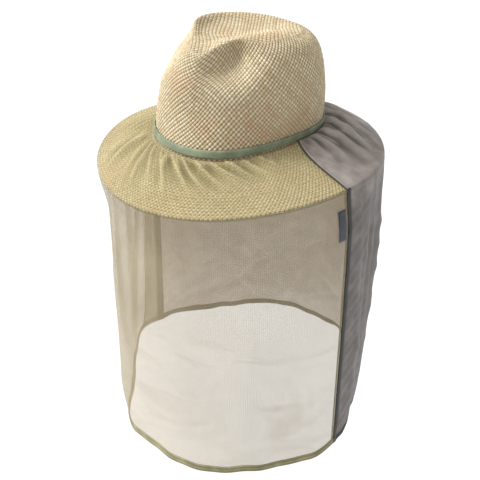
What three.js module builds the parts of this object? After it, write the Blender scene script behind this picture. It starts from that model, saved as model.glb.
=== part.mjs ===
// A woven straw hat with an insect net over its front half and a cloth neck cape over its back half.
// Millimetres, +Z up, -Y is the front of the hat, +X is the wearer's left. The origin is the middle of
// the head opening, level with the foot of the crown. Angles run from the front towards +X.
import * as THREE from "three";

// ---- driving dimensions
const GAP = 0.4; // clearance between neighbouring pieces
const WALL = { straw: 2, cloth: 1, band: 1.6, hem: 1.8, seam: 1.6, label: 0.8 };
const HEAD = { halfWidth: 88, halfLength: 100 }; // oval near the crown's foot, outside
const BRIM = {
  sink: 1.5, // of its top below the foot of the crown, for the cloth that goes under the band
  halfWidth: 160, // at the sides
  front: 162,
  back: 169,
  drop: 24, // of the edge below the crown's foot, at the sides
  frontDrop: 18, // more of it, at the very front
  backDrop: -2, // less of it, at the very back
  bend: 0.25, // share of the drop that comes late, towards the edge
};
const BAND = { foot: 1.2, height: 8.5 };
const HEM = { level: -371, share: 0.022 }; // its height is a share of the hanging length
const ROLL = { radius: 2, clearance: 0.5 }; // of the cloth over the edge of the brim
const SEAM = { left: 90, right: -92, width: 5, turn: 11 }; // the left one turns back at the band
const LABEL = { width: 9, height: 37, below: 19 }; // below the edge of the brim
const FACETS = { turn: 54, crownRows: 14, clothColumns: 36 };

// The crown's foot, as a share of an oval, and how far the crown stands from its axis at each station of
// its section, as a share of that foot, with the level there.
const CROWN = {
  columns: [
    "angle", "foot", "mid", "midUp", "side", "sideUp", "pinch", "pinchUp", "rim", "rimUp", "dent", "dentUp",
  ],
  rows: [
    [-180, 1.02, 0.99, 42, 0.94, 80, 0.86, 97, 0.74, 105, 0.47, 103],
    [-135, 1, 1.02, 38, 0.98, 76, 0.9, 97, 0.75, 109, 0.47, 105],
    [-95, 0.97, 1.03, 42, 0.97, 80, 0.85, 101, 0.66, 113.5, 0.45, 107],
    [-70, 0.975, 0.975, 42, 0.895, 74, 0.69, 99, 0.585, 114, 0.41, 107],
    [-50, 1, 0.935, 42, 0.84, 69, 0.6, 97, 0.52, 112, 0.37, 107],
    [-32, 1, 0.94, 42, 0.86, 69, 0.62, 94, 0.53, 107, 0.37, 106],
    [-18, 1.01, 0.94, 42, 0.88, 72, 0.74, 93, 0.6, 104, 0.4, 106],
    [0, 1.03, 0.935, 42, 0.905, 72, 0.82, 90, 0.68, 102, 0.43, 105],
    [14, 1.05, 0.92, 42, 0.88, 71, 0.79, 86, 0.68, 99, 0.41, 107],
    [25, 1.06, 0.9, 42, 0.83, 70, 0.64, 85, 0.56, 105.5, 0.38, 109],
    [37, 1.05, 0.9, 42, 0.81, 69, 0.5, 88, 0.49, 109.5, 0.34, 109],
    [50, 0.995, 0.935, 42, 0.84, 69, 0.53, 92, 0.52, 112, 0.36, 111],
    [62, 0.93, 0.98, 42, 0.9, 72, 0.7, 95, 0.6, 111, 0.4, 112],
    [75, 0.89, 1.03, 42, 0.97, 76, 0.85, 97, 0.68, 109, 0.44, 112.5],
    [95, 0.88, 1.08, 42, 1.02, 80, 0.92, 99, 0.72, 109, 0.46, 112],
    [135, 1.02, 1.015, 38, 0.965, 76, 0.87, 97, 0.71, 106, 0.45, 108],
  ],
  centreUp: 104,
};

// How far the net and cape hang from the axis, by angle: just below the brim, near the bottom, and at
// the hem.
const HANGING = {
  columns: ["angle", "waist", "low", "hem"],
  rows: [
    [-180, 170, 178, 187],
    [-160, 170, 176, 184],
    [-140, 168, 170, 173],
    [-119, 168, 166, 165],
    [-97, 169, 172, 173],
    [-82, 162, 169, 176],
    [-66, 154, 157, 151],
    [-50, 152, 153, 138],
    [-37, 152, 153, 139],
    [-20, 155, 157, 151],
    [-6, 158, 162, 162],
    [10, 159, 164, 166],
    [30, 161, 168, 173],
    [60, 164, 170, 171],
    [84, 168, 173, 174],
    [101, 166, 169, 167],
    [114, 163, 163, 159],
    [138, 164, 162, 163],
    [163, 168, 174, 178],
  ],
  waistAt: 0.14, // shares of the way down
  lowAt: 0.88,
};

// Gathers over the brim and soft folds below it: how many in a turn and how high, how far each cloth
// puffs up over the brim and out at its edge, and the folds that hang below.
const FOLDS = {
  freeing: 8, // how soon a cloth folds, away from the seams
  net: { count: 24, gather: 2, puff: 0.5, edge: 0, hanging: 1.2, waves: 7 },
  cape: { count: 22, gather: 4.5, puff: 3, edge: 3, hanging: 2, waves: 9 },
  seam: { count: 0, gather: 0, puff: 0, edge: 0, hanging: 0, waves: 0 },
};

// ---- helpers
const rad = THREE.MathUtils.degToRad;
const mix = THREE.MathUtils.lerp;
const steps = (from, to, count) =>
  Array.from({ length: count + 1 }, (_, i) => mix(from, to, i / count));

// Smooth value between four neighbours a, b, c, d, at share s of the way from b to c.
function smoothBetween([xa, a], [xb, b], [xc, c], [xd, d], s) {
  const span = xc - xb;
  const leave = ((c - a) / (xc - xa)) * span;
  const reach = ((d - b) / (xd - xb)) * span;
  const s2 = s * s;
  const s3 = s2 * s;
  return (2 * s3 - 3 * s2 + 1) * b + (s3 - 2 * s2 + s) * leave + (3 * s2 - 2 * s3) * c + (s3 - s2) * reach;
}

// A column of a table of angles, read smoothly all the way round.
function around(table, column, degrees) {
  const n = table.length;
  const angle = ((((degrees - table[0].angle) % 360) + 360) % 360) + table[0].angle;
  let i = n - 1;
  while (table[i].angle > angle) i -= 1;
  const row = (k) => [table[(k + n) % n].angle + 360 * Math.floor(k / n), table[(k + n) % n][column]];
  const [from, to] = [row(i), row(i + 1)];
  return smoothBetween(row(i - 1), from, to, row(i + 2), (angle - from[0]) / (to[0] - from[0]));
}

const named = (table) =>
  table.rows.map((row) => Object.fromEntries(table.columns.map((name, i) => [name, row[i]])));
const hangingRound = named(HANGING);
const crownRound = named(CROWN);


// Normal of a surface that is a function of two places, by small steps.
function normalAt(surface, u, v, uStep, vStep) {
  const alongU = surface(u + uStep, v).sub(surface(u - uStep, v));
  const alongV = surface(u, v + vStep).sub(surface(u, v - vStep));
  return alongU.cross(alongV).normalize();
}

// ---- the surfaces, each as a point at an angle and a place along its section
const ovalPoint = (halfWidth, front, back, angle) => {
  const lengthwise = Math.cos(rad(angle)) > 0 ? front : back;
  return new THREE.Vector3(halfWidth * Math.sin(rad(angle)), -lengthwise * Math.cos(rad(angle)), 0);
};
const footOval = (angle) =>
  ovalPoint(HEAD.halfWidth, HEAD.halfLength, HEAD.halfLength, angle).multiplyScalar(
    around(crownRound, "foot", angle),
  );
const edgeOval = (angle) => ovalPoint(BRIM.halfWidth, BRIM.front, BRIM.back, angle);
const pushedOut = (point, by) => {
  const flat = Math.hypot(point.x, point.y);
  return new THREE.Vector3(point.x * (1 + by / flat), point.y * (1 + by / flat), point.z);
};

// Outside of the crown: 0 at its foot, 6 at the middle of its top.
function crownPoint(angle, along) {
  const station = (name, at) => [
    around(crownRound, name, at),
    around(crownRound, `${name}Up`, at),
  ];
  const names = ["mid", "side", "pinch", "rim", "dent"];
  const first = station("mid", angle);
  const [across, acrossUp] = station("dent", angle + 180);
  const stations = [
    [2 - first[0], -first[1]],
    [1, 0],
    ...names.map((name) => station(name, angle)),
    [0, CROWN.centreUp],
    [-across, acrossUp],
  ];
  const i = Math.min(Math.max(Math.floor(along), 0), names.length);
  const [share, up] = [0, 1].map((axis) =>
    smoothBetween(...[0, 1, 2, 3].map((k) => [i + k, stations[i + k][axis]]), along - i),
  );
  const foot = footOval(angle);
  return new THREE.Vector3(foot.x * share, foot.y * share, up);
}

// Top of the brim: 0 at the crown's foot, 1 at the edge.
function brimPoint(angle, share) {
  const forward = Math.cos(rad(angle));
  const drop = BRIM.drop + (forward > 0 ? BRIM.frontDrop : BRIM.backDrop) * forward ** 2;
  const point = pushedOut(footOval(angle), GAP).lerp(edgeOval(angle), share);
  point.z = -BRIM.sink - (drop - BRIM.sink) * mix(share, share ** 2, BRIM.bend);
  return point;
}

// Both cloths lie flat at the seams, and fold freely away from them: 0 at a seam, rising to 1.
function free(angle) {
  const away = (seam) => Math.abs(Math.sin(rad(angle - seam) / 2));
  return Math.min(1, Math.min(away(SEAM.left), away(SEAM.right)) * FOLDS.freeing);
}

// 0 at both ends of a stretch and 1 at a third of the way.
const earlyBump = (share) => 6.75 * share * (1 - share) ** 2;

// Height of a cloth's gathers over the brim, 0 at the band and at the edge.
function gathered(cloth, angle, share) {
  const wave = 1 + Math.sin(rad(angle * cloth.count) + 2 * Math.sin(rad(3 * angle)));
  return free(angle) * earlyBump(share) * ((cloth.gather * wave) / 2 + cloth.puff);
}

// How far a cloth's hanging folds stand out, 0 at the edge of the brim and at the hem.
function swayed(cloth, angle, hung) {
  const wave = Math.sin(rad(angle * cloth.waves) + 1.5 * hung);
  return free(angle) * earlyBump(hung) * (cloth.hanging * wave + cloth.puff);
}

// How far the cloth hangs from the axis: hung is 0 at the edge of the brim and 1 at the hem.
function hangingOut(angle, hung, top) {
  const [waist, low, hem] = ["waist", "low", "hem"].map((name) => around(hangingRound, name, angle));
  const { waistAt, lowAt } = HANGING;
  const stations = [[-waistAt, top], [0, top], [waistAt, waist], [lowAt, low], [1, hem], [1.15, hem]];
  let i = 1;
  while (i < 3 && hung > stations[i + 1][0]) i += 1;
  const share = (hung - stations[i][0]) / (stations[i + 1][0] - stations[i][0]);
  return smoothBetween(stations[i - 1], stations[i], stations[i + 1], stations[i + 2], share);
}

// Inner face of the net and cape: 0 at the hem, 1 to 2 round the edge of the brim, 3 at the band.
function coverPoint(cloth, angle, along) {
  const share = Math.min(1, Math.max(0, 3 - along));
  const up = normalAt(brimPoint, angle, share, -0.01, 0.01);
  const low = brimPoint(angle, share);
  if (along >= 2) return low.addScaledVector(up, ROLL.clearance + gathered(cloth, angle, share));

  const flat = Math.hypot(low.x, low.y);
  const outwards = new THREE.Vector3(low.x / flat, low.y / flat, 0);
  const radius = ROLL.radius + cloth.edge * free(angle);
  const centre = low.clone().addScaledVector(up, ROLL.clearance - radius);
  if (along >= 1) return centre.addScaledVector(outwards.lerp(up, along - 1).normalize(), radius);

  const hung = 1 - along;
  const top = centre.dot(outwards) + radius;
  const bearing = THREE.MathUtils.radToDeg(Math.atan2(low.x, -low.y));
  const out = hangingOut(bearing, hung, top) + swayed(cloth, angle, hung);
  return outwards.multiplyScalar(out).setZ(mix(HEM.level, centre.z, along));
}

// ---- solids
// Closes the space between two like grids of points, outer and inner, into one solid. A grid is a list
// of rows; a ring's rows join end to end, and a last row of one point is a pole.
function closedBetween(inner, outer, ring) {
  const points = [];
  const numbered = [inner, outer].map((grid) =>
    grid.map((row) => row.map((point) => points.push(point) - 1)),
  );
  const [inside, outside] = numbered;
  const faces = [];
  const quad = (a, b, c, d) => {
    if (a !== b) faces.push(a, b, c);
    if (c !== d) faces.push(a, c, d);
  };
  const columns = inside[0].length;
  const at = (grid, row, column) => grid[row][grid[row].length === 1 ? 0 : column % columns];
  const last = ring ? columns : columns - 1;
  const top = inside.length - 1;
  for (let row = 0; row < top; row += 1) {
    for (let column = 0; column < last; column += 1) {
      const [r, c] = [row, column];
      quad(at(outside, r, c), at(outside, r, c + 1), at(outside, r + 1, c + 1), at(outside, r + 1, c));
      quad(at(inside, r, c + 1), at(inside, r, c), at(inside, r + 1, c), at(inside, r + 1, c + 1));
    }
    if (!ring) {
      quad(inside[row][0], outside[row][0], outside[row + 1][0], inside[row + 1][0]);
      quad(outside[row][last], inside[row][last], inside[row + 1][last], outside[row + 1][last]);
    }
  }
  for (let c = 0; c < last; c += 1) {
    quad(at(inside, 0, c), at(inside, 0, c + 1), at(outside, 0, c + 1), at(outside, 0, c));
    if (inside[top].length > 1)
      quad(at(outside, top, c), at(outside, top, c + 1), at(inside, top, c + 1), at(inside, top, c));
  }
  return new THREE.BufferGeometry().setFromPoints(points).setIndex(faces);
}

// A wall of a surface, between two distances out from it, over the given places across and along.
function wallOf(surface, across, along, from, to, ring = false) {
  const small = 0.01;
  const [nearFace, farFace] = [from, to].map((out) =>
    along.map((v) =>
      across.map((u) => surface(u, v).addScaledVector(normalAt(surface, u, v, small, small), out)),
    ),
  );
  return closedBetween(nearFace, farFace, ring);
}

const turn = steps(0, 360, FACETS.turn).slice(0, -1);

function crown() {
  const lastRing = 5.6; // along the section, just short of the middle of the top
  const [inner, outer] = [-WALL.straw, 0].map((out) => [
    turn.map((angle) => pushedOut(footOval(angle), out).setZ(-BRIM.sink - WALL.straw)),
    ...steps(0, lastRing, FACETS.crownRows).map((along) =>
      turn.map((angle) =>
        crownPoint(angle, along).addScaledVector(normalAt(crownPoint, angle, along, 1, 0.02), out),
      ),
    ),
    [new THREE.Vector3(0, 0, CROWN.centreUp + out)],
  ]);
  return closedBetween(inner, outer, true);
}

function brim() {
  const shares = [1, 0.75, 0.5, 0.25, 0]; // from the edge in to the crown
  const top = shares.map((share) => turn.map((angle) => brimPoint(angle, share)));
  const under = top.map((row) => row.map((point) => point.clone().setZ(point.z - WALL.straw)));
  return closedBetween(under, top, true);
}

function hatBand() {
  const onCrown = (angle, level) => crownPoint(angle, level / around(crownRound, "midUp", angle));
  const ringsAt = (out) =>
    [BAND.foot, BAND.foot + BAND.height].map((level) =>
      turn.map((angle) => pushedOut(onCrown(angle, level), out)),
    );
  return closedBetween(ringsAt(GAP), ringsAt(GAP + WALL.band), true);
}

// The angle of a seam at a place up the cloth: the left one turns to the back near the band.
const seamAt = (seam, along) =>
  seam + (seam === SEAM.left ? SEAM.turn * Math.max(0, along - 2) ** 4 : 0);

// Degrees that a width in millimetres takes beside a seam, at a place up the cloth.
function degreesOf(width, seam, along) {
  const point = coverPoint(FOLDS.seam, seamAt(seam, along), along);
  return THREE.MathUtils.radToDeg(width / Math.hypot(point.x, point.y));
}

// Places along the cover: up the hanging part, closer where it curves in below the brim, then round the
// edge of the brim and in to the band.
const hanging = [0.12, 0.26, 0.4, 0.54, 0.68, 0.78, 0.85, 0.9, 0.94, 0.97];
const overBrim = [1, 1.34, 1.67, 2, 2.2, 2.4, 2.6, 2.8, 3];
const aboveHem = [...hanging, ...overBrim];
const clothRows = [HEM.share + GAP / -HEM.level, ...aboveHem];
const hemRows = [0, HEM.share];

// The stretch of the cover between two seams.
function coverBetween(cloth, from, to, rows, wall) {
  const surface = (share, along) => {
    const start = seamAt(from, along) + degreesOf(SEAM.width / 2 + GAP, from, along);
    const end = seamAt(to, along) - degreesOf(SEAM.width / 2 + GAP, to, along);
    return coverPoint(cloth, mix(start, end, share), along);
  };
  return wallOf(surface, steps(0, 1, FACETS.clothColumns), rows, 0, wall);
}
const frontHalf = (rows, wall) => coverBetween(FOLDS.net, SEAM.right, SEAM.left, rows, wall);
const backHalf = (rows, wall) => coverBetween(FOLDS.cape, SEAM.left, SEAM.right + 360, rows, wall);

// A strip of a seam's own width.
function sideSeam(seam) {
  const surface = (share, along) =>
    coverPoint(FOLDS.seam, seamAt(seam, along) + share * degreesOf(SEAM.width / 2, seam, along), along);
  return wallOf(surface, [-1, 0, 1], [0, ...aboveHem], 0, WALL.seam);
}

function seamLabel() {
  const top = 1 - LABEL.below / -HEM.level;
  const bottom = top - LABEL.height / -HEM.level;
  const back = -SEAM.width / 2 - GAP;
  const surface = (across, along) =>
    coverPoint(FOLDS.seam, SEAM.left + degreesOf(across, SEAM.left, along), along);
  const lift = WALL.cloth + GAP;
  const rows = [bottom, ...hanging.filter((along) => along > bottom && along < top), top];
  return wallOf(surface, [back - LABEL.width, back], rows, lift, lift + WALL.label);
}

// ---- the hat
const straw = new THREE.MeshStandardMaterial({ color: 0xd2c2a1, roughness: 0.8 });
const sageCotton = new THREE.MeshStandardMaterial({ color: 0x8c9678, roughness: 0.9 });
const insectNet = new THREE.MeshStandardMaterial({
  color: 0xc9c2aa,
  roughness: 0.9,
  transparent: true,
  opacity: 0.55,
});
const greyCloth = new THREE.MeshStandardMaterial({ color: 0x7c746d, roughness: 0.9 });
const oliveHem = new THREE.MeshStandardMaterial({ color: 0x9a9274, roughness: 0.9 });
const darkBinding = new THREE.MeshStandardMaterial({ color: 0x67645e, roughness: 0.9 });
const navyLabel = new THREE.MeshStandardMaterial({ color: 0x53565a, roughness: 0.7 });

const hat = new THREE.Group();
function add(name, geometry, material) {
  const mesh = new THREE.Mesh(geometry, material);
  mesh.name = name;
  hat.add(mesh);
}

add("crown", crown(), straw);
add("brim", brim(), straw);
add("hat_band", hatBand(), sageCotton);
add("net_veil", frontHalf(clothRows, WALL.cloth), insectNet);
add("neck_cape", backHalf(clothRows, WALL.cloth), greyCloth);
add("net_hem", frontHalf(hemRows, WALL.hem), oliveHem);
add("cape_hem", backHalf(hemRows, WALL.hem), darkBinding);
add("side_seam_left", sideSeam(SEAM.left), darkBinding);
add("side_seam_right", sideSeam(SEAM.right), darkBinding);
add("seam_label", seamLabel(), navyLabel);

export default hat;
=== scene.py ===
"""A straw hat with a gathered insect net in front and a cloth cape behind. Sizes are in millimetres,
and the meshes are made from them in metres. +Z is up, -Y the front and +X the wearer's left, and
angles are in degrees from the front towards +X."""

import math
from functools import partial

import bpy
import numpy as np
from mathutils import Matrix, Vector
from mathutils.geometry import delaunay_2d_cdt


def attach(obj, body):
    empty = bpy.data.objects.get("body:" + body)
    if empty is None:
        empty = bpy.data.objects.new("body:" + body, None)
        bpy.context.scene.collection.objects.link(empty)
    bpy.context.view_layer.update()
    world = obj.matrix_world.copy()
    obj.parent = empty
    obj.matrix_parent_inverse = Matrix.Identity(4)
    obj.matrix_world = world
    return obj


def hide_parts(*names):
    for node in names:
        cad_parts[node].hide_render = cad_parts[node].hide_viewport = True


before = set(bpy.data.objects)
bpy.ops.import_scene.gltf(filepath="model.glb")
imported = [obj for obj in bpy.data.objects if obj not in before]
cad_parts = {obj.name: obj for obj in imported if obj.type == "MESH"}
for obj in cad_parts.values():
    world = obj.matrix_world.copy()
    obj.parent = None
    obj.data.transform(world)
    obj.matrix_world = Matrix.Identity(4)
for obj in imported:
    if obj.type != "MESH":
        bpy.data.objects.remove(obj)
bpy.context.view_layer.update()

MM = 0.001
SEED = 11

# ---- the camera and the studio
CAMERA_AT = (0.60122, -0.59646, 0.34615)
CAMERA_RIGHT = (0.70296, 0.71118, 0.00877)
CAMERA_UP = (-0.36654, 0.35168, 0.86138)
LENS = 59.54
FLOOR = {"level": -1.3, "half": 60.0, "colour": "#d8d8d8"}
SKY_STRENGTH = 0.46
# Each light's name, energy, spread in degrees and heading.
LIGHTS = (
    ("window_light", 4.0, 26, (0.7, 0.58, -0.85)),
    ("ceiling_light", 1.08, 40, (-0.1, 0.25, -1.0)),
)


def place_camera():
    right, up = Vector(CAMERA_RIGHT).normalized(), Vector(CAMERA_UP).normalized()
    turn = Matrix((right, up, right.cross(up))).transposed()
    camera = bpy.data.objects.new("camera", bpy.data.cameras.new("camera"))
    camera.data.lens = LENS
    camera.data.clip_start = 0.01
    camera.matrix_world = Matrix.Translation(CAMERA_AT) @ turn.to_4x4()
    bpy.context.scene.collection.objects.link(camera)
    bpy.context.scene.camera = camera


def light_studio():
    world = bpy.data.worlds.new("studio")
    world.use_nodes = True
    sky = world.node_tree.nodes["Background"]
    sky.inputs["Color"].default_value = (1.0, 1.0, 1.0, 1.0)
    sky.inputs["Strength"].default_value = SKY_STRENGTH
    bpy.context.scene.world = world
    for name, energy, spread, heading in LIGHTS:
        sun = bpy.data.objects.new(name, bpy.data.lights.new(name, "SUN"))
        sun.data.energy = energy
        sun.data.angle = math.radians(spread)
        sun.matrix_world = Vector(heading).to_track_quat("-Z", "Y").to_matrix().to_4x4()
        bpy.context.scene.collection.objects.link(sun)
    bpy.context.scene.view_settings.view_transform = "Standard"
    signs = ((-1, -1), (1, -1), (1, 1), (-1, 1))
    corners = [(x * FLOOR["half"], y * FLOOR["half"], FLOOR["level"]) for x, y in signs]
    mesh = bpy.data.meshes.new("studio_floor")
    mesh.from_pydata(corners, [], [(0, 1, 2, 3)])
    floor = bpy.data.objects.new("studio_floor", mesh)
    material, _, shader = new_material("white_paper_floor", FLOOR["colour"], 0.9)
    shader.inputs["Base Color"].default_value = hexed(FLOOR["colour"])
    mesh.materials.append(material)
    bpy.context.scene.collection.objects.link(floor)


# ---- sizes, the same as the solids'
GAP = 0.4
STRAW_WALL = 2.0
HALF_WIDTH, HALF_LENGTH = 88.0, 100.0
BRIM = {
    "sink": 1.5, "width": 160.0, "front": 162.0, "back": 169.0,
    "drop": 24.0, "front_drop": 18.0, "back_drop": -2.0, "bend": 0.25,
}
BAND = {"foot": 1.2, "height": 8.5, "wall": 1.6, "edge": 0.5, "radius": 94.0}
HEM_LEVEL, HEM_SHARE, HEM_WAVE = -371.0, 0.022, 0.0034
NET_DROP = -HEM_LEVEL  # on the cloth's map, where the hanging part ends
ROLL_RADIUS, CLEARANCE = 2.0, 0.5
SEAM_LEFT, SEAM_RIGHT, SEAM_WIDTH = 90.0, -92.0, 5.0
SEAM_TURN, SEAM_TURN_RIGHT = 11.0, 9.0  # of the left and right seam towards the back, at the band
CENTRE_UP = 104.0
LABEL = {"width": 9.0, "height": 37.0, "below": 19.0}

# Rings of the crown, as shares and heights: its foot as a share of an oval, then shares of that foot for
# the upright side, the side's top, the pinch, the rim and the dent.
CROWN_ROUND = np.array([
    # angle, foot, mid, up, side, up, pinch, up, rim, up, dent, up
    [-180, 1.02, 0.99, 42, 0.94, 80, 0.86, 97, 0.74, 105, 0.47, 103],
    [-135, 1, 1.02, 38, 0.98, 76, 0.9, 97, 0.75, 109, 0.47, 105],
    [-95, 0.97, 1.03, 42, 0.97, 80, 0.85, 101, 0.66, 113.5, 0.45, 107],
    [-70, 0.975, 0.975, 42, 0.895, 74, 0.69, 99, 0.585, 114, 0.41, 107],
    [-50, 1, 0.935, 42, 0.84, 69, 0.6, 97, 0.52, 112, 0.37, 107],
    [-32, 1, 0.94, 42, 0.86, 69, 0.62, 94, 0.53, 107, 0.37, 106],
    [-18, 1.01, 0.94, 42, 0.88, 72, 0.74, 93, 0.6, 104, 0.4, 106],
    [0, 1.03, 0.935, 42, 0.905, 72, 0.82, 90, 0.68, 102, 0.43, 105],
    [14, 1.05, 0.92, 42, 0.88, 71, 0.79, 86, 0.68, 99, 0.41, 107],
    [25, 1.06, 0.9, 42, 0.83, 70, 0.64, 85, 0.56, 105.5, 0.38, 109],
    [37, 1.05, 0.9, 42, 0.81, 69, 0.5, 88, 0.49, 109.5, 0.34, 109],
    [50, 0.995, 0.935, 42, 0.84, 69, 0.53, 92, 0.52, 112, 0.36, 111],
    [62, 0.93, 0.98, 42, 0.9, 72, 0.7, 95, 0.6, 111, 0.4, 112],
    [75, 0.89, 1.03, 42, 0.97, 76, 0.85, 97, 0.68, 109, 0.44, 112.5],
    [95, 0.88, 1.08, 42, 1.02, 80, 0.92, 99, 0.72, 109, 0.46, 112],
    [135, 1.02, 1.015, 38, 0.965, 76, 0.87, 97, 0.71, 106, 0.45, 108],
], float)
FOOT, MID, MID_UP, DENT = 1, 2, 3, 10  # columns of that table

# How far the cloth hangs from the axis: at its waist, low down and at the hem.
HANGING = np.array([
    # angle, waist, low, hem
    [-180, 170, 178, 187], [-160, 170, 176, 184], [-140, 168, 170, 173], [-119, 168, 166, 165],
    [-97, 169, 172, 173], [-82, 162, 169, 176], [-66, 154, 157, 151], [-50, 152, 153, 138],
    [-37, 152, 153, 139], [-20, 155, 157, 151], [-6, 158, 162, 162], [10, 159, 164, 166],
    [30, 161, 168, 173], [60, 164, 170, 171], [84, 168, 173, 174], [101, 166, 169, 167],
    [114, 163, 163, 159], [138, 164, 162, 163], [163, 168, 174, 178],
], float)
WAIST = 1  # the first of its columns after the angle
WAIST_AT, LOW_AT = 0.14, 0.88

FREEING = 8.0  # how soon the cloth, which lies flat along its seams, is free of them
# Gathers over the brim and the soft folds below it. What is sewn along a seam has none.
FOLDS = {
    "net": {"count": 24, "gather": 1.2, "puff": 0.4, "edge": 0.0, "hanging": 1.2, "waves": 7},
    "cape": {"count": 22, "gather": 3.0, "puff": 2.4, "edge": 3.0, "hanging": 2.0, "waves": 9},
    "flat": {"count": 0, "gather": 0.0, "puff": 0.0, "edge": 0.0, "hanging": 0.0, "waves": 0},
}


def mix(a, b, share):
    return a + (b - a) * share


def smooth_between(before, start, end, after, at):
    """A smooth curve from start to end, each a (place, value) pair, that heeds the points around."""
    span = end[0] - start[0]
    share = (at - start[0]) / span
    leaving = (end[1] - before[1]) / (end[0] - before[0]) * span
    arriving = (after[1] - start[1]) / (after[0] - start[0]) * span
    two, three = share**2, share**3
    return (
        (2 * three - 3 * two + 1) * start[1]
        + (three - 2 * two + share) * leaving
        + (3 * two - 2 * three) * end[1]
        + (three - two) * arriving
    )


def around(table, column, angles):
    """A table's column read at any angles, smoothly round the hat."""
    knots = np.concatenate([table[-2:, 0] - 360, table[:, 0], table[:3, 0] + 360])
    values = np.concatenate([table[-2:, column], table[:, column], table[:3, column]])
    at = (np.asarray(angles, float) - table[0, 0]) % 360 + table[0, 0]
    i = np.searchsorted(knots, at, side="right") - 1
    pairs = [(knots[i + k], values[i + k]) for k in (-1, 0, 1, 2)]
    return smooth_between(*pairs, at)


def oval(half_width, front, back, angles):
    angle = np.radians(angles)
    lengthwise = np.where(np.cos(angle) > 0, front, back)
    return np.stack([half_width * np.sin(angle), -lengthwise * np.cos(angle)], -1)


def foot_oval(angles):
    whole = oval(HALF_WIDTH, HALF_LENGTH, HALF_LENGTH, angles)
    return whole * around(CROWN_ROUND, FOOT, angles)[..., None]


def pushed_out(points, by):
    flat = np.linalg.norm(points[..., :2], axis=-1, keepdims=True)
    moved = np.array(points, float)
    moved[..., :2] *= 1 + by / flat
    return moved


def unit(vectors):
    return vectors / np.linalg.norm(vectors, axis=-1, keepdims=True)


def normal_of(surface, u, v, step_u, step_v):
    across = surface(u + step_u, v) - surface(u - step_u, v)
    along = surface(u, v + step_v) - surface(u, v - step_v)
    return unit(np.cross(across, along))


def crown_point(angles, along):
    """Outside of the crown: 0 at its foot, 4 at the rim, 6 at the middle of its top."""
    angles, along = np.broadcast_arrays(np.asarray(angles, float), np.asarray(along, float))
    shares = [around(CROWN_ROUND, MID + 2 * k, angles) for k in range(5)]
    levels = [around(CROWN_ROUND, MID_UP + 2 * k, angles) for k in range(5)]
    beyond = [around(CROWN_ROUND, DENT + k, angles + 180) for k in range(2)]
    zero = np.zeros_like(angles)
    shares = np.stack([2 - shares[0], zero + 1, *shares, zero, -beyond[0]])
    levels = np.stack([-levels[0], zero, *levels, zero + CENTRE_UP, beyond[1]])
    i = np.clip(np.floor(along), 0, 5).astype(int)
    read = []
    for stations in (shares, levels):
        picked = [np.take_along_axis(stations, (i + k)[None], 0)[0] for k in range(4)]
        read.append(smooth_between(*[(k - 1, picked[k]) for k in range(4)], along - i))
    flat = foot_oval(angles) * read[0][..., None]
    return np.concatenate([flat, read[1][..., None]], -1)


def brim_point(angles, share):
    """Top of the brim: 0 at the crown's foot, 1 at the edge."""
    angles, share = np.broadcast_arrays(np.asarray(angles, float), np.asarray(share, float))
    forward = np.cos(np.radians(angles))
    extra = np.where(forward > 0, BRIM["front_drop"], BRIM["back_drop"])
    drop = BRIM["drop"] + extra * forward**2
    foot = pushed_out(foot_oval(angles), GAP)
    edge = oval(BRIM["width"], BRIM["front"], BRIM["back"], angles)
    flat = mix(foot, edge, share[..., None])
    level = -BRIM["sink"] - (drop - BRIM["sink"]) * mix(share, share**2, BRIM["bend"])
    return np.concatenate([flat, level[..., None]], -1)


def free(angles):
    """0 at a seam, where the cloth lies flat, rising to 1 away from it."""
    away = [np.abs(np.sin(np.radians(angles - seam) / 2)) for seam in (SEAM_LEFT, SEAM_RIGHT)]
    return np.minimum(1, np.minimum(*away) * FREEING)


def early_bump(share):
    """0 at both ends of a stretch and 1 at a third of the way."""
    return 6.75 * share * (1 - share) ** 2


def gathered(folds, angles, share):
    turn = np.radians(angles)
    wave = 1 + np.sin(turn * folds["count"] + 2 * np.sin(3 * turn))
    return free(angles) * early_bump(share) * (folds["gather"] * wave / 2 + folds["puff"])


def hanging_out(folds, angles, hung, top):
    """How far the cloth hangs from the axis: hung is 0 at the edge of the brim and 1 at the hem."""
    waist, low, hem = [around(HANGING, WAIST + k, angles) for k in range(3)]
    stations = [(-WAIST_AT, top), (0, top), (WAIST_AT, waist), (LOW_AT, low), (1, hem), (1.15, hem)]
    pieces = [smooth_between(*stations[k : k + 4], hung) for k in range(3)]
    out = np.where(hung > LOW_AT, pieces[2], np.where(hung > WAIST_AT, pieces[1], pieces[0]))
    wave = np.sin(np.radians(angles) * folds["waves"] + 1.5 * hung)
    sway = free(angles) * early_bump(hung) * (folds["hanging"] * wave + folds["puff"])
    return out + sway


def cover_point(form, angles, along):
    """Inner face of the net and cape: 0 at the hem, 1 to 2 round the brim's edge, 3 at the band."""
    folds = FOLDS[form]
    angles, along = np.broadcast_arrays(np.asarray(angles, float), np.asarray(along, float))
    share = np.clip(3 - along, 0, 1)
    up = normal_of(brim_point, angles, share, -0.01, 0.01)
    low = brim_point(angles, share)
    over = low + up * (CLEARANCE + gathered(folds, angles, share))[..., None]
    outwards = unit(low * np.array([1, 1, 0]))
    radius = (ROLL_RADIUS + folds["edge"] * free(angles))[..., None]
    centre = low + up * (CLEARANCE - radius)
    turned = np.clip(along - 1, 0, 1)[..., None]
    rolled = centre + radius * unit(mix(outwards, up, turned))
    hung = np.maximum(1 - along, 0)
    top = (centre * outwards).sum(-1) + radius[..., 0]
    bearing = np.degrees(np.arctan2(low[..., 0], -low[..., 1]))
    out = hanging_out(folds, bearing, hung, top)
    hanging = outwards * out[..., None]
    hanging[..., 2] = mix(HEM_LEVEL, centre[..., 2], along)
    at = along[..., None]
    return np.where(at >= 2, over, np.where(at >= 1, rolled, hanging))


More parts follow.
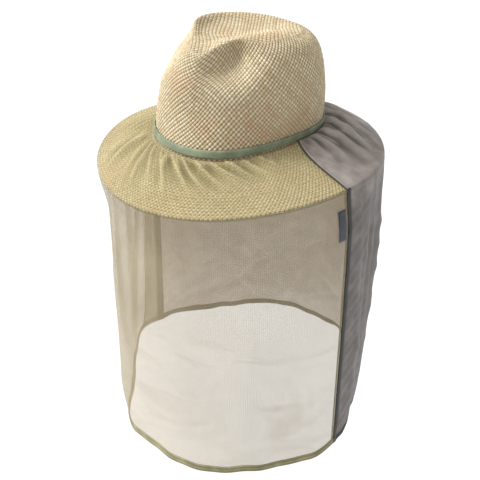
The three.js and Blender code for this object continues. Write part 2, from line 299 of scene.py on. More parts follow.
# ---- meshes
def mesh_from(name, points, faces, material, uv=None, uv_name="cloth", extra=None):
    """A piece from points in millimetres. uv gives each face's corners in turn, and extra holds
    values kept on the points for the node trees."""
    mesh = bpy.data.meshes.new(name)
    mesh.from_pydata((np.asarray(points) * MM).tolist(), [], faces)
    if uv is not None:
        layer = mesh.uv_layers.new(name=uv_name)
        layer.data.foreach_set("uv", np.asarray(uv, np.float32).ravel())
    for key, values in (extra or {}).items():
        kept = mesh.attributes.new(key, "FLOAT", "POINT")
        kept.data.foreach_set("value", np.asarray(values, np.float32).ravel())
    mesh.polygons.foreach_set("use_smooth", [True] * len(mesh.polygons))
    mesh.materials.append(material)
    mesh.update()
    piece = bpy.data.objects.new(name, mesh)
    bpy.context.scene.collection.objects.link(piece)
    return piece


def walled(inner, outer, uv, ring=False):
    """The faces and corner places of a closed wall between two like grids, rows from the bottom up."""
    rows, columns = inner.shape[:2]
    points = np.concatenate([inner.reshape(-1, 3), outer.reshape(-1, 3)])
    number = np.arange(rows * columns).reshape(rows, columns)
    last = columns if ring else columns - 1
    r, c = [k.ravel() for k in np.meshgrid(range(rows - 1), range(last), indexing="ij")]
    side = (c + 1) % columns
    near = np.stack([number[r, c], number[r, side], number[r + 1, side], number[r + 1, c]], 1)
    faces = [near + rows * columns, near[:, ::-1]]
    edge = np.arange(last)
    beside = (edge + 1) % columns
    half = rows * columns
    low, high = number[0], number[-1]
    faces.append(np.stack([low[edge], low[beside], low[beside] + half, low[edge] + half], 1))
    faces.append(np.stack([high[beside], high[edge], high[edge] + half, high[beside] + half], 1))
    if not ring:
        left, right = number[:, 0], number[:, -1]
        up = np.arange(rows - 1)
        faces.append(np.stack([left[up], left[up] + half, left[up + 1] + half, left[up + 1]], 1))
        faces.append(np.stack([right[up], right[up + 1], right[up + 1] + half, right[up] + half], 1))
    faces = np.concatenate(faces)
    corners = np.concatenate([uv.reshape(-1, 2)] * 2)[faces]
    if ring:
        wide = corners[..., 0].max(1) - corners[..., 0].min(1) > uv[..., 0].max() / 2
        low_side = corners[..., 0] < uv[..., 0].max() / 2
        period = uv[0, 1, 0] - uv[0, 0, 0] + uv[..., 0].max()
        corners[..., 0] += np.where(wide[:, None] & low_side, period, 0)
    return points, faces.tolist(), corners


def run_nodes(piece, tree, **values):
    """Runs a node tree over a piece, with named inputs, and keeps the result as a plain mesh."""
    modifier = piece.modifiers.new(tree.name, "NODES")
    modifier.node_group = tree
    for item in tree.interface.items_tree:
        if item.item_type == "SOCKET" and item.in_out == "INPUT" and item.name in values:
            modifier[item.identifier] = values[item.name]
    bpy.context.view_layer.update()
    seen = piece.evaluated_get(bpy.context.evaluated_depsgraph_get())
    made = bpy.data.meshes.new_from_object(seen)
    piece.modifiers.clear()
    piece.data = made
    return piece


# ---- node trees
def hexed(code):
    """An sRGB hex colour as linear values."""
    levels = [int(code[k : k + 2], 16) / 255 for k in (1, 3, 5)]
    return (*[v / 12.92 if v <= 0.04045 else ((v + 0.055) / 1.055) ** 2.4 for v in levels], 1.0)


def feed(tree, node, inputs):
    """Gives a node its inputs, by name or in turn: each is a value, a socket, or a node, whose first
    output in use is taken."""
    in_use = [socket for socket in node.inputs if socket.enabled]
    for key, value in inputs.items() if isinstance(inputs, dict) else enumerate(inputs):
        socket = in_use[key] if isinstance(key, int) else node.inputs[key]
        if isinstance(value, bpy.types.Node):
            value = next(output for output in value.outputs if output.enabled)
        if isinstance(value, bpy.types.NodeSocket):
            tree.links.new(value, socket)
        else:
            socket.default_value = value


def add(tree, kind, inputs=(), stops=(), **settings):
    """Adds a node with its settings and inputs. stops are the places and colours of a colour ramp."""
    node = tree.nodes.new(kind)
    for key, value in settings.items():
        setattr(node, key, value)
    if stops:
        elements = node.color_ramp.elements
        while len(elements) < len(stops):
            elements.new(1.0)
        for element, (place, colour) in zip(elements, stops):
            element.position = place
            element.color = hexed(colour)
    feed(tree, node, inputs)
    return node


def new_material(name, colour, roughness):
    material = bpy.data.materials.new(name)
    material.use_nodes = True
    material.diffuse_color = hexed(colour)
    shader = material.node_tree.nodes["Principled BSDF"]
    shader.inputs["Roughness"].default_value = roughness
    return material, material.node_tree, shader


def new_tree(name, inputs):
    """A geometry tree with named inputs between its geometry and its material, and its input node."""
    tree = bpy.data.node_groups.new(name, "GeometryNodeTree")
    for label, kind in (("Geometry", "Geometry"), *inputs, ("Material", "Material")):
        tree.interface.new_socket(label, in_out="INPUT", socket_type=f"NodeSocket{kind}")
    tree.interface.new_socket("Geometry", in_out="OUTPUT", socket_type="NodeSocketGeometry")
    return tree, add(tree, "NodeGroupInput")


def end_tree(tree, given, geometry):
    """Ends a geometry tree with its material on all that it has made."""
    parts = {"Geometry": geometry, "Material": given.outputs["Material"]}
    dressed = add(tree, "GeometryNodeSetMaterial", parts)
    add(tree, "NodeGroupOutput", {"Geometry": dressed})
    return tree


STRAW_PITCH = 3.8  # between the middles of two strands side by side
DIAMOND = STRAW_PITCH * math.sqrt(2)  # round the hat, from one crossing to the next
STRANDS_APART = 1000.0  # strands before their numbers start again
WARP_APART = 5000.0  # between the numbers of the strands of the two directions


def crossing_strands(tree, a, b):
    """Which strand of a weave lies on top at the places a and b, as nodes: whether it is one of those
    that run along a, its number, and the places along it and across it."""
    whole = [add(tree, "ShaderNodeMath", (value,), operation="FLOOR") for value in (a, b)]
    part = [add(tree, "ShaderNodeMath", (value,), operation="FRACT") for value in (a, b)]
    number = [
        add(tree, "ShaderNodeMath", (value, STRANDS_APART), operation="FLOORED_MODULO") for value in whole
    ]
    both = add(tree, "ShaderNodeMath", whole, operation="ADD")
    odd = add(tree, "ShaderNodeMath", (both, 2.0), operation="FLOORED_MODULO")
    over_a = add(tree, "ShaderNodeMath", (odd, 0.5), operation="LESS_THAN")
    return {
        "over_a": over_a,
        "number": add(tree, "ShaderNodeMix", (over_a, *number)),
        "along": add(tree, "ShaderNodeMix", (over_a, b, a)),
        "across": add(tree, "ShaderNodeMix", (over_a, *part)),
    }


def palm_straw():
    """Split palm leaf, woven by hand and bleached: satin strands with fine lengthwise grain, no two
    the same tone, a few pinkish, with painted dark shade where they dive under each other and in the
    holes between them."""
    material, tree, shader = new_material("palm_straw", "#d2c2a1", 0.62)
    place = add(tree, "ShaderNodeUVMap", uv_map="weave")
    split = add(tree, "ShaderNodeSeparateXYZ", (place,))
    strand = crossing_strands(tree, *split.outputs[:2])
    own = add(tree, "ShaderNodeCombineXYZ", (strand["number"], strand["over_a"]))
    tone = add(tree, "ShaderNodeTexWhiteNoise", (own,), noise_dimensions="2D")
    crossing = add(tree, "ShaderNodeVectorMath", (place,), operation="FLOOR")
    each = add(tree, "ShaderNodeTexWhiteNoise", (crossing,), noise_dimensions="2D")

    # The leaf's grain, long along a strand and fine across it.
    run = add(tree, "ShaderNodeMath", (strand["along"], 0.7), operation="MULTIPLY")
    width = add(tree, "ShaderNodeMath", (strand["across"], 7.0), operation="MULTIPLY")
    grain_at = add(tree, "ShaderNodeCombineXYZ", (run, width, strand["number"]))
    grain = add(tree, "ShaderNodeTexNoise", {"Vector": grain_at, "Scale": 1.6, "Detail": 3.0})
    light = add(tree, "ShaderNodeMath", (tone, 0.22, grain), operation="MULTIPLY_ADD")
    light = add(tree, "ShaderNodeMath", (each, 0.3, light), operation="MULTIPLY_ADD")
    tones = [(0.4, "#a8946e"), (0.65, "#c3b18c"), (0.85, "#d5c6a5"), (1.0, "#e0d4b8")]
    colour = add(tree, "ShaderNodeValToRGB", (light,), tones)

    # Pinkish strands, and pinkish patches of many strands.
    body = add(tree, "ShaderNodeTexCoord")
    patch = add(tree, "ShaderNodeTexNoise", {"Vector": body.outputs["Object"], "Scale": 22.0, "Detail": 2.0})
    tan = add(tree, "ShaderNodeValToRGB", (patch,), [(0.52, "#000000"), (0.66, "#ffffff")])
    odd = add(tree, "ShaderNodeValToRGB", (tone,), [(0.8, "#000000"), (0.86, "#ffffff")])
    odd = add(tree, "ShaderNodeMath", (odd, 0.5, 0.3), operation="MULTIPLY_ADD")
    pinkish = add(tree, "ShaderNodeMath", (tan, odd), operation="MULTIPLY")
    colour = add(tree, "ShaderNodeMix", (pinkish, colour, hexed("#c9a27c")), data_type="RGBA")

    # Painted shade along the strands' edges, where it starts from their middles and how deep it is,
    # varied at random, and painted dark shade in the holes where four strands meet.
    edges = []
    for axis, start, depth in ((split.outputs[0], 0.27, 0.66), (split.outputs[1], 0.24, 0.8)):
        off = add(tree, "ShaderNodeMath", (axis,), operation="FRACT")
        off = add(tree, "ShaderNodeMath", (off, 0.5), operation="SUBTRACT")
        off = add(tree, "ShaderNodeMath", (off,), operation="ABSOLUTE")
        edges.append(add(tree, "ShaderNodeMapRange", (off, start, 0.5, 0.0, depth)))
    groove = add(tree, "ShaderNodeMath", edges, operation="MAXIMUM")
    painted_shade_depth = add(tree, "ShaderNodeMath", (each, 0.6, 0.5), operation="MULTIPLY_ADD")
    shade = add(tree, "ShaderNodeMath", (groove, painted_shade_depth), operation="MULTIPLY")
    colour = add(tree, "ShaderNodeMix", (shade, colour, hexed("#6e5a38")), data_type="RGBA")
    corner = add(tree, "ShaderNodeMath", edges, operation="MULTIPLY")
    painted_gap_shade = add(tree, "ShaderNodeMath", (corner, 2.2), operation="MULTIPLY")
    colour = add(tree, "ShaderNodeMix", (painted_gap_shade, colour, hexed("#2c2010")), data_type="RGBA")

    rough = add(tree, "ShaderNodeMapRange", {0: grain, 3: 0.5, 4: 0.72})
    height = add(tree, "ShaderNodeMath", (grain, 0.2), operation="MULTIPLY")
    height = add(tree, "ShaderNodeMath", (height, groove), operation="SUBTRACT")
    bump = add(tree, "ShaderNodeBump", {"Strength": 0.8, "Distance": 0.0007, "Height": height})
    feed(tree, shader, {"Base Color": colour, "Roughness": rough, "Normal": bump})
    return material


FOLD_VALUES = ("ridge", "hollow")  # kept on the points of a folded cloth, from 0 to 1


def cloth_places(tree, spacing, cloud):
    """What the cloths' patterns are drawn from: the cloth's own map in millimetres and the place up
    it, how high a plain weave's threads stand, from 0 to 1, the ridges and hollows of its folds, the
    place on the body, and a soft cloud of a scale and detail."""
    place = add(tree, "ShaderNodeUVMap", uv_map="cloth")
    split = add(tree, "ShaderNodeSeparateXYZ", (place,))
    waves = []
    for axis in split.outputs[:2]:
        turn = add(tree, "ShaderNodeMath", (axis, 2 * math.pi / spacing), operation="MULTIPLY")
        waves.append(add(tree, "ShaderNodeMath", (turn,), operation="COSINE"))
    top = add(tree, "ShaderNodeMath", waves, operation="MAXIMUM")
    threads = add(tree, "ShaderNodeMath", (top, 0.5, 0.5), operation="MULTIPLY_ADD")
    folds = [add(tree, "ShaderNodeAttribute", attribute_name=name).outputs["Fac"] for name in FOLD_VALUES]
    body = add(tree, "ShaderNodeTexCoord").outputs["Object"]
    cloud = add(tree, "ShaderNodeTexNoise", {"Vector": body, "Scale": cloud[0], "Detail": cloud[1]})
    return place, split.outputs[1], threads, *folds, body, cloud


def insect_net():
    """Knitted polyester net, its holes a millimetre apart in the real one and drawn at twice that so
    that they show: matt yarns, see-through between them, olive over the straw and where it is double,
    with painted shade in the hollows of its folds and a painted dark line of shadow along its turn
    round the brim's edge."""
    material, tree, shader = new_material("insect_net", "#c9c2aa", 0.85)
    _, up, threads, ridge, hollow, body, cloud = cloth_places(tree, 2.0, (14.0, 3.0))
    over_brim = add(tree, "ShaderNodeMapRange", (up, NET_DROP - 2, NET_DROP + 14))
    hanging, laid = [
        add(tree, "ShaderNodeValToRGB", (cloud,), list(zip((0.3, 0.5, 0.72), tones)))
        for tones in (("#a19171", "#ab9c7c", "#b5a788"), ("#a99c68", "#b6a975", "#c4b784"))
    ]
    colour = add(tree, "ShaderNodeMix", (over_brim, hanging, laid), data_type="RGBA")
    double = add(tree, "ShaderNodeMix", (over_brim, hexed("#a39b68"), hexed("#beb287")), data_type="RGBA")
    from_edge = add(tree, "ShaderNodeMath", (up, NET_DROP), operation="SUBTRACT")
    from_edge = add(tree, "ShaderNodeMath", (from_edge,), operation="ABSOLUTE")
    turning = add(tree, "ShaderNodeMapRange", (from_edge, 0.5, 2.5, 0.6, 0.0))
    # Painted colour: the doubled net on the folds' ridges, painted shade in their hollows, and a painted
    # dark line of shadow where the net turns round the brim's edge.
    for share, over in ((ridge, double), (hollow, hexed("#736b46")), (turning, hexed("#5a5440"))):
        colour = add(tree, "ShaderNodeMix", (share, colour, over), data_type="RGBA")

    # How much the yarns cover: less over the brim, where the holes are stretched open, and unevenly
    # where the net hangs, in streaks that run round the hat.
    even = add(tree, "ShaderNodeMapRange", {0: threads, 3: 0.27, 4: 0.38})
    stretched = add(tree, "ShaderNodeMapRange", (threads, 0.45, 1.0, 0.02, 0.36))
    streak = add(tree, "ShaderNodeMapping", {"Vector": body, "Scale": (5.0, 5.0, 13.0)})
    streak = {"Vector": streak, "Scale": 1.0, "Detail": 3.0, "Distortion": 1.6}
    streak = add(tree, "ShaderNodeTexNoise", streak)
    streak = add(tree, "ShaderNodeMapRange", (streak, 0.52, 0.68, 0.0, 0.07))
    dense = add(tree, "ShaderNodeMath", (streak, even), operation="ADD")
    cover = add(tree, "ShaderNodeMix", (over_brim, dense, stretched))
    doubled = add(tree, "ShaderNodeMath", (ridge, 0.7), operation="MULTIPLY")
    for fold in (hollow, turning):
        doubled = add(tree, "ShaderNodeMath", (doubled, fold), operation="MAXIMUM")
    cover = add(tree, "ShaderNodeMath", (doubled, 0.45, cover), operation="MULTIPLY_ADD")
    feed(tree, shader, {"Base Color": colour, "Alpha": cover, "Sheen Weight": 0.15})
    return material


def woven_cloth(name, tones, spacing, roughness, sheen, crease="#000000", painted_hanging_shade=None):
    """Plain woven cotton or polyester: matt, slightly mottled, with a fine thread relief. Painted shade
    darkens it where its threads sink and, in its crease colour, in the hollows of its folds, and
    painted highlight lightens the folds' ridges. Its last colour, where given, multiplies all that
    hangs darker: painted shade, against the top over the brim."""
    material, tree, shader = new_material(name, tones[1], roughness)
    place, up, threads, ridge, hollow, _, cloud = cloth_places(tree, spacing, (52.0, 5.0))
    slub = add(tree, "ShaderNodeMapping", {"Vector": place, "Scale": (0.5, 0.2, 1.0)})
    slub = add(tree, "ShaderNodeTexNoise", {"Vector": slub, "Scale": 1.0, "Detail": 2.0})
    mottle = add(tree, "ShaderNodeMath", (cloud, 0.75), operation="MULTIPLY")
    mottle = add(tree, "ShaderNodeMath", (slub, 0.25, mottle), operation="MULTIPLY_ADD")
    colour = add(tree, "ShaderNodeValToRGB", (mottle,), list(zip((0.32, 0.5, 0.68), tones)))
    dark, _, light = [hexed(tone) for tone in tones]
    # Painted shade where the threads sink and in the folds' hollows, and painted highlight on their ridges.
    sunk = add(tree, "ShaderNodeMath", (1.0, threads), operation="SUBTRACT")
    for share, part, over, kind in (
        (sunk, 0.25, dark, "MULTIPLY"), (hollow, 0.75, hexed(crease), "MIX"), (ridge, 0.4, light, "MIX"),
    ):
        share = add(tree, "ShaderNodeMath", (share, part), operation="MULTIPLY")
        colour = add(tree, "ShaderNodeMix", (share, colour, over), data_type="RGBA", blend_type=kind)
    # Painted shade: all that hangs below the brim is multiplied darker than the top over the brim.
    if painted_hanging_shade:
        share = add(tree, "ShaderNodeMapRange", (up, NET_DROP - 25, NET_DROP, 1.0, 0.0))
        tint = (share, colour, hexed(painted_hanging_shade))
        colour = add(tree, "ShaderNodeMix", tint, data_type="RGBA", blend_type="MULTIPLY")
    bump = add(tree, "ShaderNodeBump", {"Strength": 0.4, "Distance": 0.0002, "Height": threads})
    feed(tree, shader, {"Base Color": colour, "Normal": bump, "Sheen Weight": sheen})
    return material


# Each woven cloth's tones from dark to light, the spacing of its threads, drawn about three times as
# coarse as in the real one so that they show, its roughness and its sheen, and for some the colour of
# the painted shade in its creases and the tint of painted shade on what hangs.
CLOTHS = {
    # Cotton tape, soft and dull, with a little fuzz that catches the light.
    "sage_cotton_tape": (("#636c55", "#7d866b", "#949c80"), 0.8, 0.85, 0.2),
    # Thin polyester poplin, crumpled, with painted shade in its creases and painted shade over all that
    # hangs.
    "grey_poplin": (("#786f69", "#8c837c", "#a89f98"), 0.9, 0.8, 0.2, "#2b2826", "#cbcbcf"),
    # The same cloth's inner face, painted much paler to stand in for light coming through the thin cloth,
    # with painted shade in its creases.
    "grey_poplin_back_painted_light": (("#d0cac7", "#dcd6d3", "#e6e1de"), 0.9, 0.85, 0.2, "#b4aeaa"),
    # The net folded several times over, so that its holes close: dull olive.
    "olive_hem_net": (("#7d7855", "#938d67", "#aaa37c"), 1.2, 0.85, 0.15),
    # Spun polyester thread, dark against the hem.
    "olive_sewing_thread": (("#3f3b26", "#4d4830", "#5c563c"), 0.5, 0.7, 0.1),
    # Cotton twill tape, nearly black and dull.
    "dark_twill_binding": (("#272725", "#32322f", "#403f3b"), 0.8, 0.85, 0.15),
    # Spun polyester thread, paler than the binding that it holds.
    "sewing_thread": (("#6f6a55", "#7d7862", "#8b866f"), 0.5, 0.7, 0.1),
    # Satin ribbon, smooth and a little glossy.
    "navy_satin_label": (("#242834", "#303441", "#3e4250"), 0.5, 0.5, 0.1),
}


def woven_relief():
    """Raises the strands of a weave over each other: each point's strand_a and strand_b say where it
    lies in the weave, and relief how strongly it takes part."""
    sizes = [(name, "Float") for name in ("Depth Along", "Depth Across", "Unevenness")]
    tree, given = new_tree("woven_relief", [*sizes, ("Seed", "Int")])
    a, b, relief = [
        add(tree, "GeometryNodeInputNamedAttribute", {"Name": name}, data_type="FLOAT")
        for name in ("strand_a", "strand_b", "relief")
    ]
    strand = crossing_strands(tree, a, b)
    fall = []
    for place, over, depth in ((a, 2.0, "Depth Across"), (b, -2.0, "Depth Along")):
        off = add(tree, "ShaderNodeMath", (place,), operation="FRACT")
        off = add(tree, "ShaderNodeMath", (off, 2.0, -1.0), operation="MULTIPLY_ADD")
        off = add(tree, "ShaderNodeMath", (off,), operation="ABSOLUTE")
        flatness = (strand["over_a"], over, 3.0 - over / 2)
        flatness = add(tree, "ShaderNodeMath", flatness, operation="MULTIPLY_ADD")
        sunk = add(tree, "ShaderNodeMath", (off, flatness), operation="POWER")
        fall.append(add(tree, "ShaderNodeMath", (sunk, given.outputs[depth]), operation="MULTIPLY"))
    own = (strand["over_a"], WARP_APART, strand["number"])
    own = add(tree, "ShaderNodeMath", own, operation="MULTIPLY_ADD")
    uneven = (0.0, given.outputs["Unevenness"], own, given.outputs["Seed"])
    uneven = add(tree, "FunctionNodeRandomValue", uneven, data_type="FLOAT")
    depth = add(tree, "ShaderNodeMath", fall, operation="ADD")
    depth = add(tree, "ShaderNodeMath", (depth, uneven), operation="ADD")
    depth = add(tree, "ShaderNodeMath", (depth, relief), operation="MULTIPLY")
    height = add(tree, "ShaderNodeMath", (depth, -1.0), operation="MULTIPLY")
    normal = add(tree, "GeometryNodeInputNormal")
    lift = add(tree, "ShaderNodeVectorMath", {"Vector": normal, "Scale": height}, operation="SCALE")
    moved = {"Geometry": given.outputs["Geometry"], "Offset": lift}
    moved = add(tree, "GeometryNodeSetPosition", moved)
    real = add(tree, "GeometryNodeRealizeInstances", {"Geometry": moved})
    return end_tree(tree, given, real)


def stitching():
    """Lays short rounded stitches end to end along a line, with a space between them."""
    sizes = [(name, "Float") for name in ("Stitch Length", "Space", "Thread")]
    tree, given = new_tree("stitching", sizes)
    line = add(tree, "GeometryNodeMeshToCurve", {0: given.outputs["Geometry"]})
    pace = (given.outputs["Stitch Length"], given.outputs["Space"])
    pace = add(tree, "ShaderNodeMath", pace, operation="ADD")
    spots = add(tree, "GeometryNodeCurveToPoints", {"Curve": line, "Length": pace}, mode="LENGTH")
    slim = add(tree, "ShaderNodeMath", (given.outputs["Thread"], 2.0), operation="DIVIDE")
    half = add(tree, "ShaderNodeMath", (given.outputs["Stitch Length"], 2.0), operation="DIVIDE")
    size = add(tree, "ShaderNodeCombineXYZ", (slim, slim, half))
    body = add(tree, "GeometryNodeMeshUVSphere", {"Segments": 6, "Rings": 4, "Radius": 1.0})
    shaped = add(tree, "GeometryNodeTransform", {"Geometry": body, "Scale": size})
    heading = {"Vector": spots.outputs["Tangent"]}
    heading = add(tree, "FunctionNodeAlignRotationToVector", heading, axis="Z")
    laid = {"Points": spots.outputs["Points"], "Instance": shaped, "Rotation": heading}
    laid = add(tree, "GeometryNodeInstanceOnPoints", laid)
    real = add(tree, "GeometryNodeRealizeInstances", {"Geometry": laid})
    smooth = add(tree, "GeometryNodeSetShadeSmooth", {"Geometry": real})
    return end_tree(tree, given, smooth)


# ---- the straw
CROWN_COUNT = 110  # diamonds round the crown
PARTS = 6  # rows of points to a diamond
RIM, INSIDE_TOP, CENTRE = 4.0, 5.6, 6.0  # places along the crown's section
CROWN_ROWS = 23 * PARTS
FOOT_ROWS = 4  # of the weave, that the upright edge below the crown's foot takes
FADE_ROWS = 4  # over which the strands' relief dies out at the crown's foot and rim
TOP_AWAY = (400, 700)  # in the weave, so that no strand of the top goes on in the side
TOP_CLEAR, TOP_FADE = 0.8, 3.0  # of the top's points from the rim, and where their relief is full
SECTION_STEPS = 161
INSIDE_ROWS, POLE_ROW = 29, 230
BRIM_FINER = 0.84  # the brim's weave against the crown's
BRIM_ROUNDS, ROUND_ROWS = 3, 30
ROUND_AWAY = 300  # in the weave, from one round of the brim to the next
ROUND_FADE = 3
BRIM_TUCK = 0.8  # the most that a strand's end is drawn in at the brim's edge
UNDER_ROWS = 19
RELIEF = {"Depth Along": 0.0008, "Depth Across": 0.0005, "Unevenness": 0.0003, "Seed": SEED}


def staggered(rows, columns):
    """A ring of diamonds, rows from the bottom up, every second row half a step on. Gives the faces,
    and each corner's row and half steps round."""
    column = np.arange(columns)
    parts = [[(0, 2 * column), (0, 2 * column + 2), (1, 2 * column + 1)]]
    for row in range(1, rows - 1):
        at = 2 * column + (row - 1) % 2
        parts.append([(row - 1, at), (row, at + 1), (row + 1, at), (row, at - 1)])
    top = rows - 1
    at = 2 * column + top % 2
    parts.append([(top, at), (top - 1, at + 1), (top, at + 2)])
    faces, places = [], []
    for corners in parts:
        rows_of = np.stack([np.full(columns, row) for row, _ in corners], 1)
        steps_of = np.stack([step for _, step in corners], 1)
        number = rows_of * columns + ((steps_of - rows_of % 2) // 2) % columns
        faces += number.tolist()
        places.append(np.stack([rows_of, steps_of], -1).reshape(-1, 2))
    return faces, np.concatenate(places)


def fanned(outer, inner):
    """Faces that join a fine ring to a coarse one inside it, facing down."""
    ratio = len(outer) // len(inner)
    faces = []
    for k in range(len(inner)):
        arc = [outer[(k * ratio + step) % len(outer)] for step in range(ratio, -1, -1)]
        faces.append([*arc, inner[k], inner[(k + 1) % len(inner)]])
    return faces


def along_at(angles, shares, start, end):
    """Places along the crown's section, at equal shares of its length from start to end."""
    along = np.linspace(start, end, SECTION_STEPS)
    line = crown_point(angles[:, None], along[None])
    step = np.linalg.norm(np.diff(line, axis=1), axis=-1)
    length = np.concatenate([np.zeros((len(angles), 1)), np.cumsum(step, 1)], 1)
    found = [np.interp(shares, one / one[-1], along) for one in length]
    return np.array(found), length[:, -1]


def ring_faces(start, rows, columns):
    """Quads of a ring of rows that starts at a point's number, facing in."""
    r, c = [k.ravel() for k in np.meshgrid(range(rows - 1), range(columns), indexing="ij")]
    side = (c + 1) % columns
    corners = ((r + 1, c), (r + 1, side), (r, side), (r, c))
    return np.stack([start + row * columns + column for row, column in corners], 1)


class Shell:
    """Points, faces and the places in the weave of one straw piece, added bit by bit."""

    def __init__(self):
        self.points, self.faces, self.corners = [], [], []
        self.place, self.relief, self.count = [], [], 0

    def add_points(self, points, place, relief):
        first = self.count
        points = np.reshape(points, (-1, 3))
        self.points.append(points)
        self.place.append(np.broadcast_to(np.reshape(place, (-1, 2)), (len(points), 2)))
        self.relief.append(np.broadcast_to(np.ravel(relief), (len(points),)))
        self.count += len(points)
        return first

    def add_faces(self, faces, corners=None):
        faces = [list(map(int, face)) for face in faces]
        self.faces += faces
        if corners is None:
            place = np.concatenate(self.place)
            corners = np.concatenate([place[face] for face in faces])
        self.corners.append(np.reshape(corners, (-1, 2)))

    def piece(self, name, material, tree):
        place = np.concatenate(self.place)
        kept = {"strand_a": place[:, 0], "strand_b": place[:, 1], "relief": np.concatenate(self.relief)}
        points, corners = np.concatenate(self.points), np.concatenate(self.corners)
        made = mesh_from(name, points, self.faces, material, uv=corners, uv_name="weave", extra=kept)
        return run_nodes(made, tree, Material=material, **RELIEF)


def weave_place(rows, steps):
    """Places in the weave, from rows up and half steps round."""
    return np.stack(np.broadcast_arrays((steps + rows) / PARTS, (steps - rows) / PARTS), -1)


def add_crown_top(shell, ring, rim):
    """The top, woven flat: the rim's ring of points, and a square net of points inside it."""
    columns = len(ring)
    fine = np.linspace(0, 1, SECTION_STEPS)
    found, reach = along_at(ring, fine, RIM, CENTRE)
    turn = np.radians(ring)
    edge = np.stack([np.sin(turn), -np.cos(turn)], 1) * reach[:, None]
    span = int(reach.max() / STRAW_PITCH * PARTS / 2)
    a, b = [k.ravel() * 2 / PARTS for k in np.meshgrid(*[np.arange(-2 * span, 2 * span + 1)] * 2)]
    flat = np.stack([a - b, a + b], 1) * STRAW_PITCH / math.sqrt(2)
    bearing = np.degrees(np.arctan2(flat[:, 0], -flat[:, 1])) % 360
    order = np.argsort(ring % 360)
    limit = np.interp(bearing, (ring % 360)[order], reach[order], period=360)
    away = np.linalg.norm(flat, axis=1)
    kept = away < limit - TOP_CLEAR
    flat, a, b, bearing, limit, away = [k[kept] for k in (flat, a, b, bearing, limit, away)]
    top = crown_point(bearing, np.interp(1 - away / limit, fine, found.mean(0)))
    place = np.stack([a, b], 1) + TOP_AWAY
    first = shell.add_points(top, place, np.clip((limit - away) / TOP_FADE, 0, 1))

    # The net and the ring are joined into triangles on the flat, each turned to face up.
    plan = np.concatenate([edge, flat])
    made = delaunay_2d_cdt([Vector(p) for p in plan], [], [list(range(columns))], 1, 1e-4)
    origin = [k[0] for k in made[3]]
    number = [rim[k] if k < columns else first + k - columns for k in origin]
    edge_place = np.stack([edge[:, 0] + edge[:, 1], edge[:, 1] - edge[:, 0]], 1) / DIAMOND + TOP_AWAY
    known = np.concatenate([edge_place, place])
    faces, corners = [], []
    for face in made[2]:
        if len({number[k] for k in face}) < 3:
            continue
        p, q, r = [plan[origin[k]] for k in face[:3]]
        if (q[0] - p[0]) * (r[1] - p[1]) - (q[1] - p[1]) * (r[0] - p[0]) < 0:
            face = face[::-1]
        faces.append([number[k] for k in face])
        corners += [known[origin[k]] for k in face]
    shell.add_faces(faces, np.array(corners))


def add_crown_inside(shell, ring, half_steps, foot, low):
    """The inside, coarser, with a pole at its top, and the edge that joins it to the foot."""
    coarse = ring[:: PARTS // 2]
    levels = np.linspace(0, INSIDE_TOP, INSIDE_ROWS)
    normal = normal_of(crown_point, coarse[None], levels[:, None], 1, 0.02)
    inside = crown_point(coarse[None], levels[:, None]) - normal * STRAW_WALL
    start = pushed_out(foot[:: PARTS // 2], -STRAW_WALL)
    inside = np.concatenate([start[None], inside])
    up = np.concatenate([[-FOOT_ROWS], levels * CROWN_ROWS / RIM])
    inner = shell.add_points(inside, weave_place(up[:, None], half_steps[None, ::PARTS]), 0)
    pole = [0, 0, CENTRE_UP - STRAW_WALL]
    pole = shell.add_points(pole, weave_place(POLE_ROW, 0), 0)
    shell.add_faces(ring_faces(inner, len(up), CROWN_COUNT))
    last = inner + (len(up) - 1) * CROWN_COUNT + np.arange(CROWN_COUNT)
    shell.add_faces([[pole, b, a] for a, b in zip(last, np.roll(last, -1))])
    shell.add_faces(fanned(low + np.arange(len(ring)), inner + np.arange(CROWN_COUNT)))


def crown_piece(material, tree):
    """The crown: its woven side, the upright edge at its foot, its top and its inside."""
    shell = Shell()
    columns = CROWN_COUNT * PARTS // 2
    half_steps = np.arange(2 * columns)
    angles = 180 + half_steps * 180 / columns
    rows = CROWN_ROWS + 1
    along, _ = along_at(angles, np.linspace(0, 1, rows), 0, RIM)
    row, column = np.meshgrid(range(rows), range(columns), indexing="ij")
    step = 2 * column + row % 2
    side = crown_point(angles[step], along[step, row])
    relief = np.minimum(1, np.minimum(row, CROWN_ROWS - row) / FADE_ROWS)
    shell.add_points(side, weave_place(row, step), relief)
    faces, places = staggered(rows, columns)
    shell.add_faces(faces, weave_place(places[:, 0], places[:, 1]))
    foot = side[0] * np.array([1, 1, 0]) + np.array([0, 0, -BRIM["sink"] - STRAW_WALL])
    low = shell.add_points(foot, weave_place(-FOOT_ROWS, half_steps[::2]), 0)
    here = np.arange(columns)
    after = (here + 1) % columns
    steps = np.stack([2 * here, 2 * here + 2, 2 * here + 2, 2 * here], 1)
    places = weave_place(np.array([-FOOT_ROWS, -FOOT_ROWS, 0, 0]), steps)
    shell.add_faces(np.stack([low + here, low + after, after, here], 1), places)
    ring = angles[::2]
    add_crown_top(shell, ring, (rows - 1) * columns + here)
    add_crown_inside(shell, ring, half_steps, foot, low)
    return shell.piece("crown_straw", material, tree)


